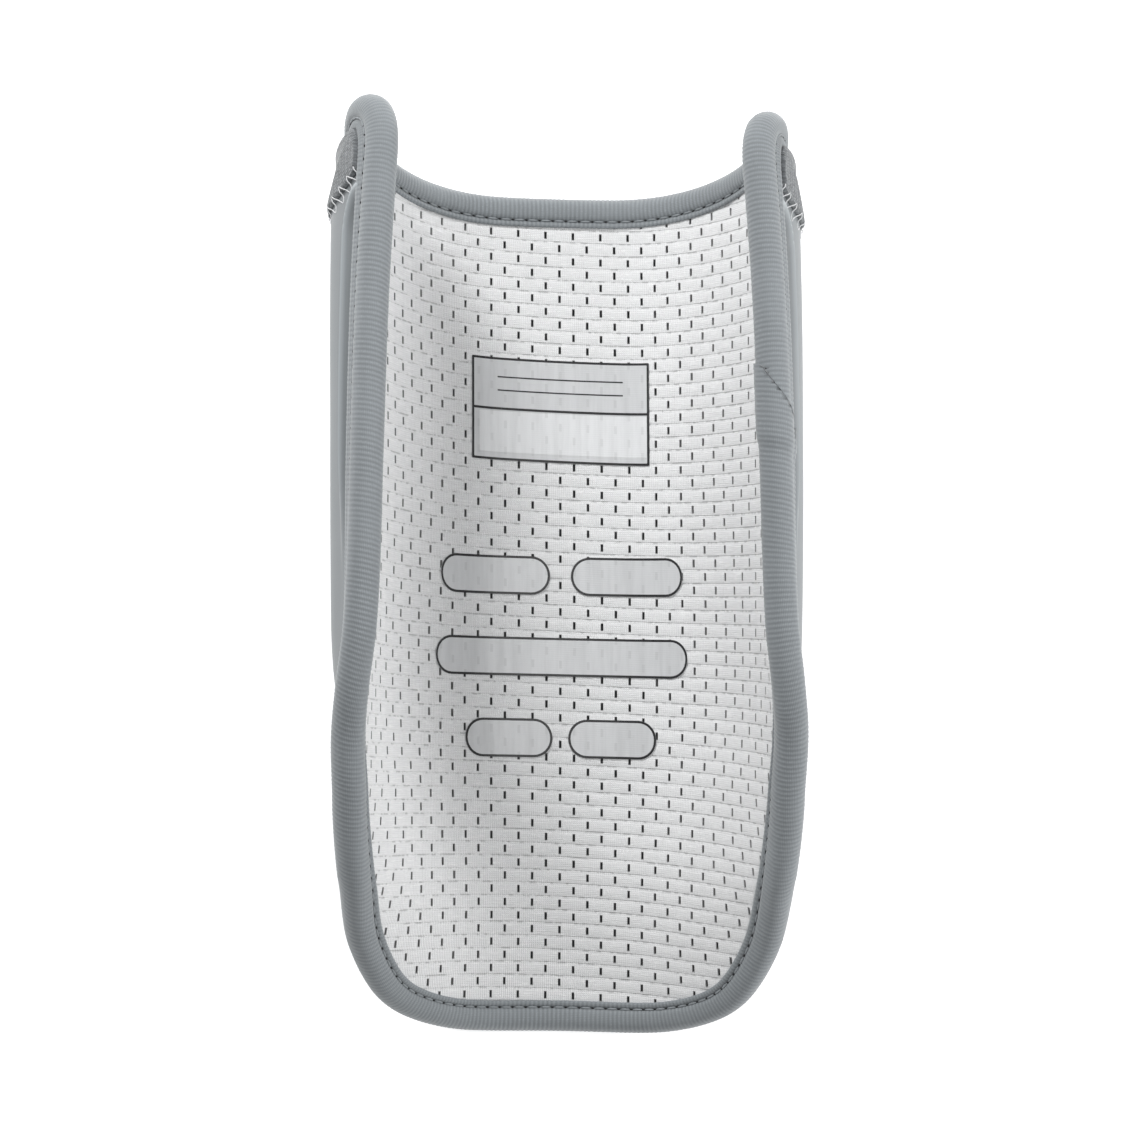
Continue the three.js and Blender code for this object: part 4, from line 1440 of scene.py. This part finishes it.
class GUARD_OT_stage(bpy.types.Operator):
    """Makes the pale floor, the soft lights and the camera"""

    bl_idname = "guard.stage"
    bl_label = "Stage"

    def execute(self, context):
        stage = context.scene.guard_stage
        bpy.ops.object.select_all(action="DESELECT")
        bpy.ops.mesh.primitive_plane_add(size=FLOOR_SIZE, location=(0, 0, 0))
        floor = bpy.context.active_object
        floor.name = "pale_floor"
        floor.data.materials.append(floor_finish(stage))
        world = bpy.data.worlds.new("soft_surroundings")
        world.use_nodes = True
        background = world.node_tree.nodes["Background"]
        background.inputs["Color"].default_value = (1, 1, 1, 1)
        background.inputs["Strength"].default_value = stage.sky
        context.scene.world = world
        for name, place, size, power in LIGHTS:
            area_light(name, place, size, getattr(stage, power))
        context.scene.view_settings.view_transform = "Standard"
        self.camera(stage)
        return {"FINISHED"}

    def camera(self, stage):
        bpy.ops.object.camera_add(location=(0, 0, 0))
        camera = bpy.context.active_object
        camera.name = "photo_camera"
        target = Vector(EYE_TARGET)
        back = Vector((
            -math.sin(stage.eye_sideways),
            -math.cos(stage.eye_elevation) * math.cos(stage.eye_sideways),
            math.sin(stage.eye_elevation) * math.cos(stage.eye_sideways),
        ))
        camera.location = target + back * stage.eye_distance
        right = Vector((0, 1, 0)).cross(back).normalized()
        camera.rotation_euler = Matrix((right, back.cross(right), back)).transposed().to_euler()
        camera.data.lens = stage.lens
        camera.data.sensor_width = SENSOR_WIDTH
        bpy.context.scene.camera = camera


PIECES = ("foam", "lining", "shell", "knit", "zigzag", "tape", "stitches", "prints", "stage")


class GUARD_PT_panel(bpy.types.Panel):
    """Lists the guard's pieces and their settings"""

    bl_idname = "GUARD_PT_panel"
    bl_label = "Elbow Guard"
    bl_space_type = "VIEW_3D"
    bl_region_type = "UI"
    bl_category = "Elbow Guard"

    def draw(self, context):
        for piece in PIECES:
            self.layout.operator(f"guard.{piece}")
        for group in SETTINGS:
            settings = getattr(context.scene, group)
            box = self.layout.box()
            for name in settings.bl_rna.properties.keys():
                if name not in ("rna_type", "name"):
                    box.prop(settings, name)


SETTINGS = {
    "guard_lining": GuardLining,
    "guard_shell": GuardShell,
    "guard_tape": GuardTape,
    "guard_knit": GuardKnit,
    "guard_prints": GuardPrints,
    "guard_stage": GuardStage,
}
CLASSES = (
    *SETTINGS.values(),
    GUARD_OT_lining,
    GUARD_OT_foam,
    GUARD_OT_shell,
    GUARD_OT_knit,
    GUARD_OT_zigzag,
    GUARD_OT_tape,
    GUARD_OT_stitches,
    GUARD_OT_prints,
    GUARD_OT_stage,
    GUARD_PT_panel,
)


def register():
    for made in CLASSES:
        bpy.utils.register_class(made)
    for name, group in SETTINGS.items():
        setattr(bpy.types.Scene, name, bpy.props.PointerProperty(type=group))


def unregister():
    for name in SETTINGS:
        delattr(bpy.types.Scene, name)
    for made in reversed(CLASSES):
        bpy.utils.unregister_class(made)


def main():
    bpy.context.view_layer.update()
    register()
    for piece in PIECES:
        getattr(bpy.ops.guard, piece)()


if __name__ == "__main__":
    main()
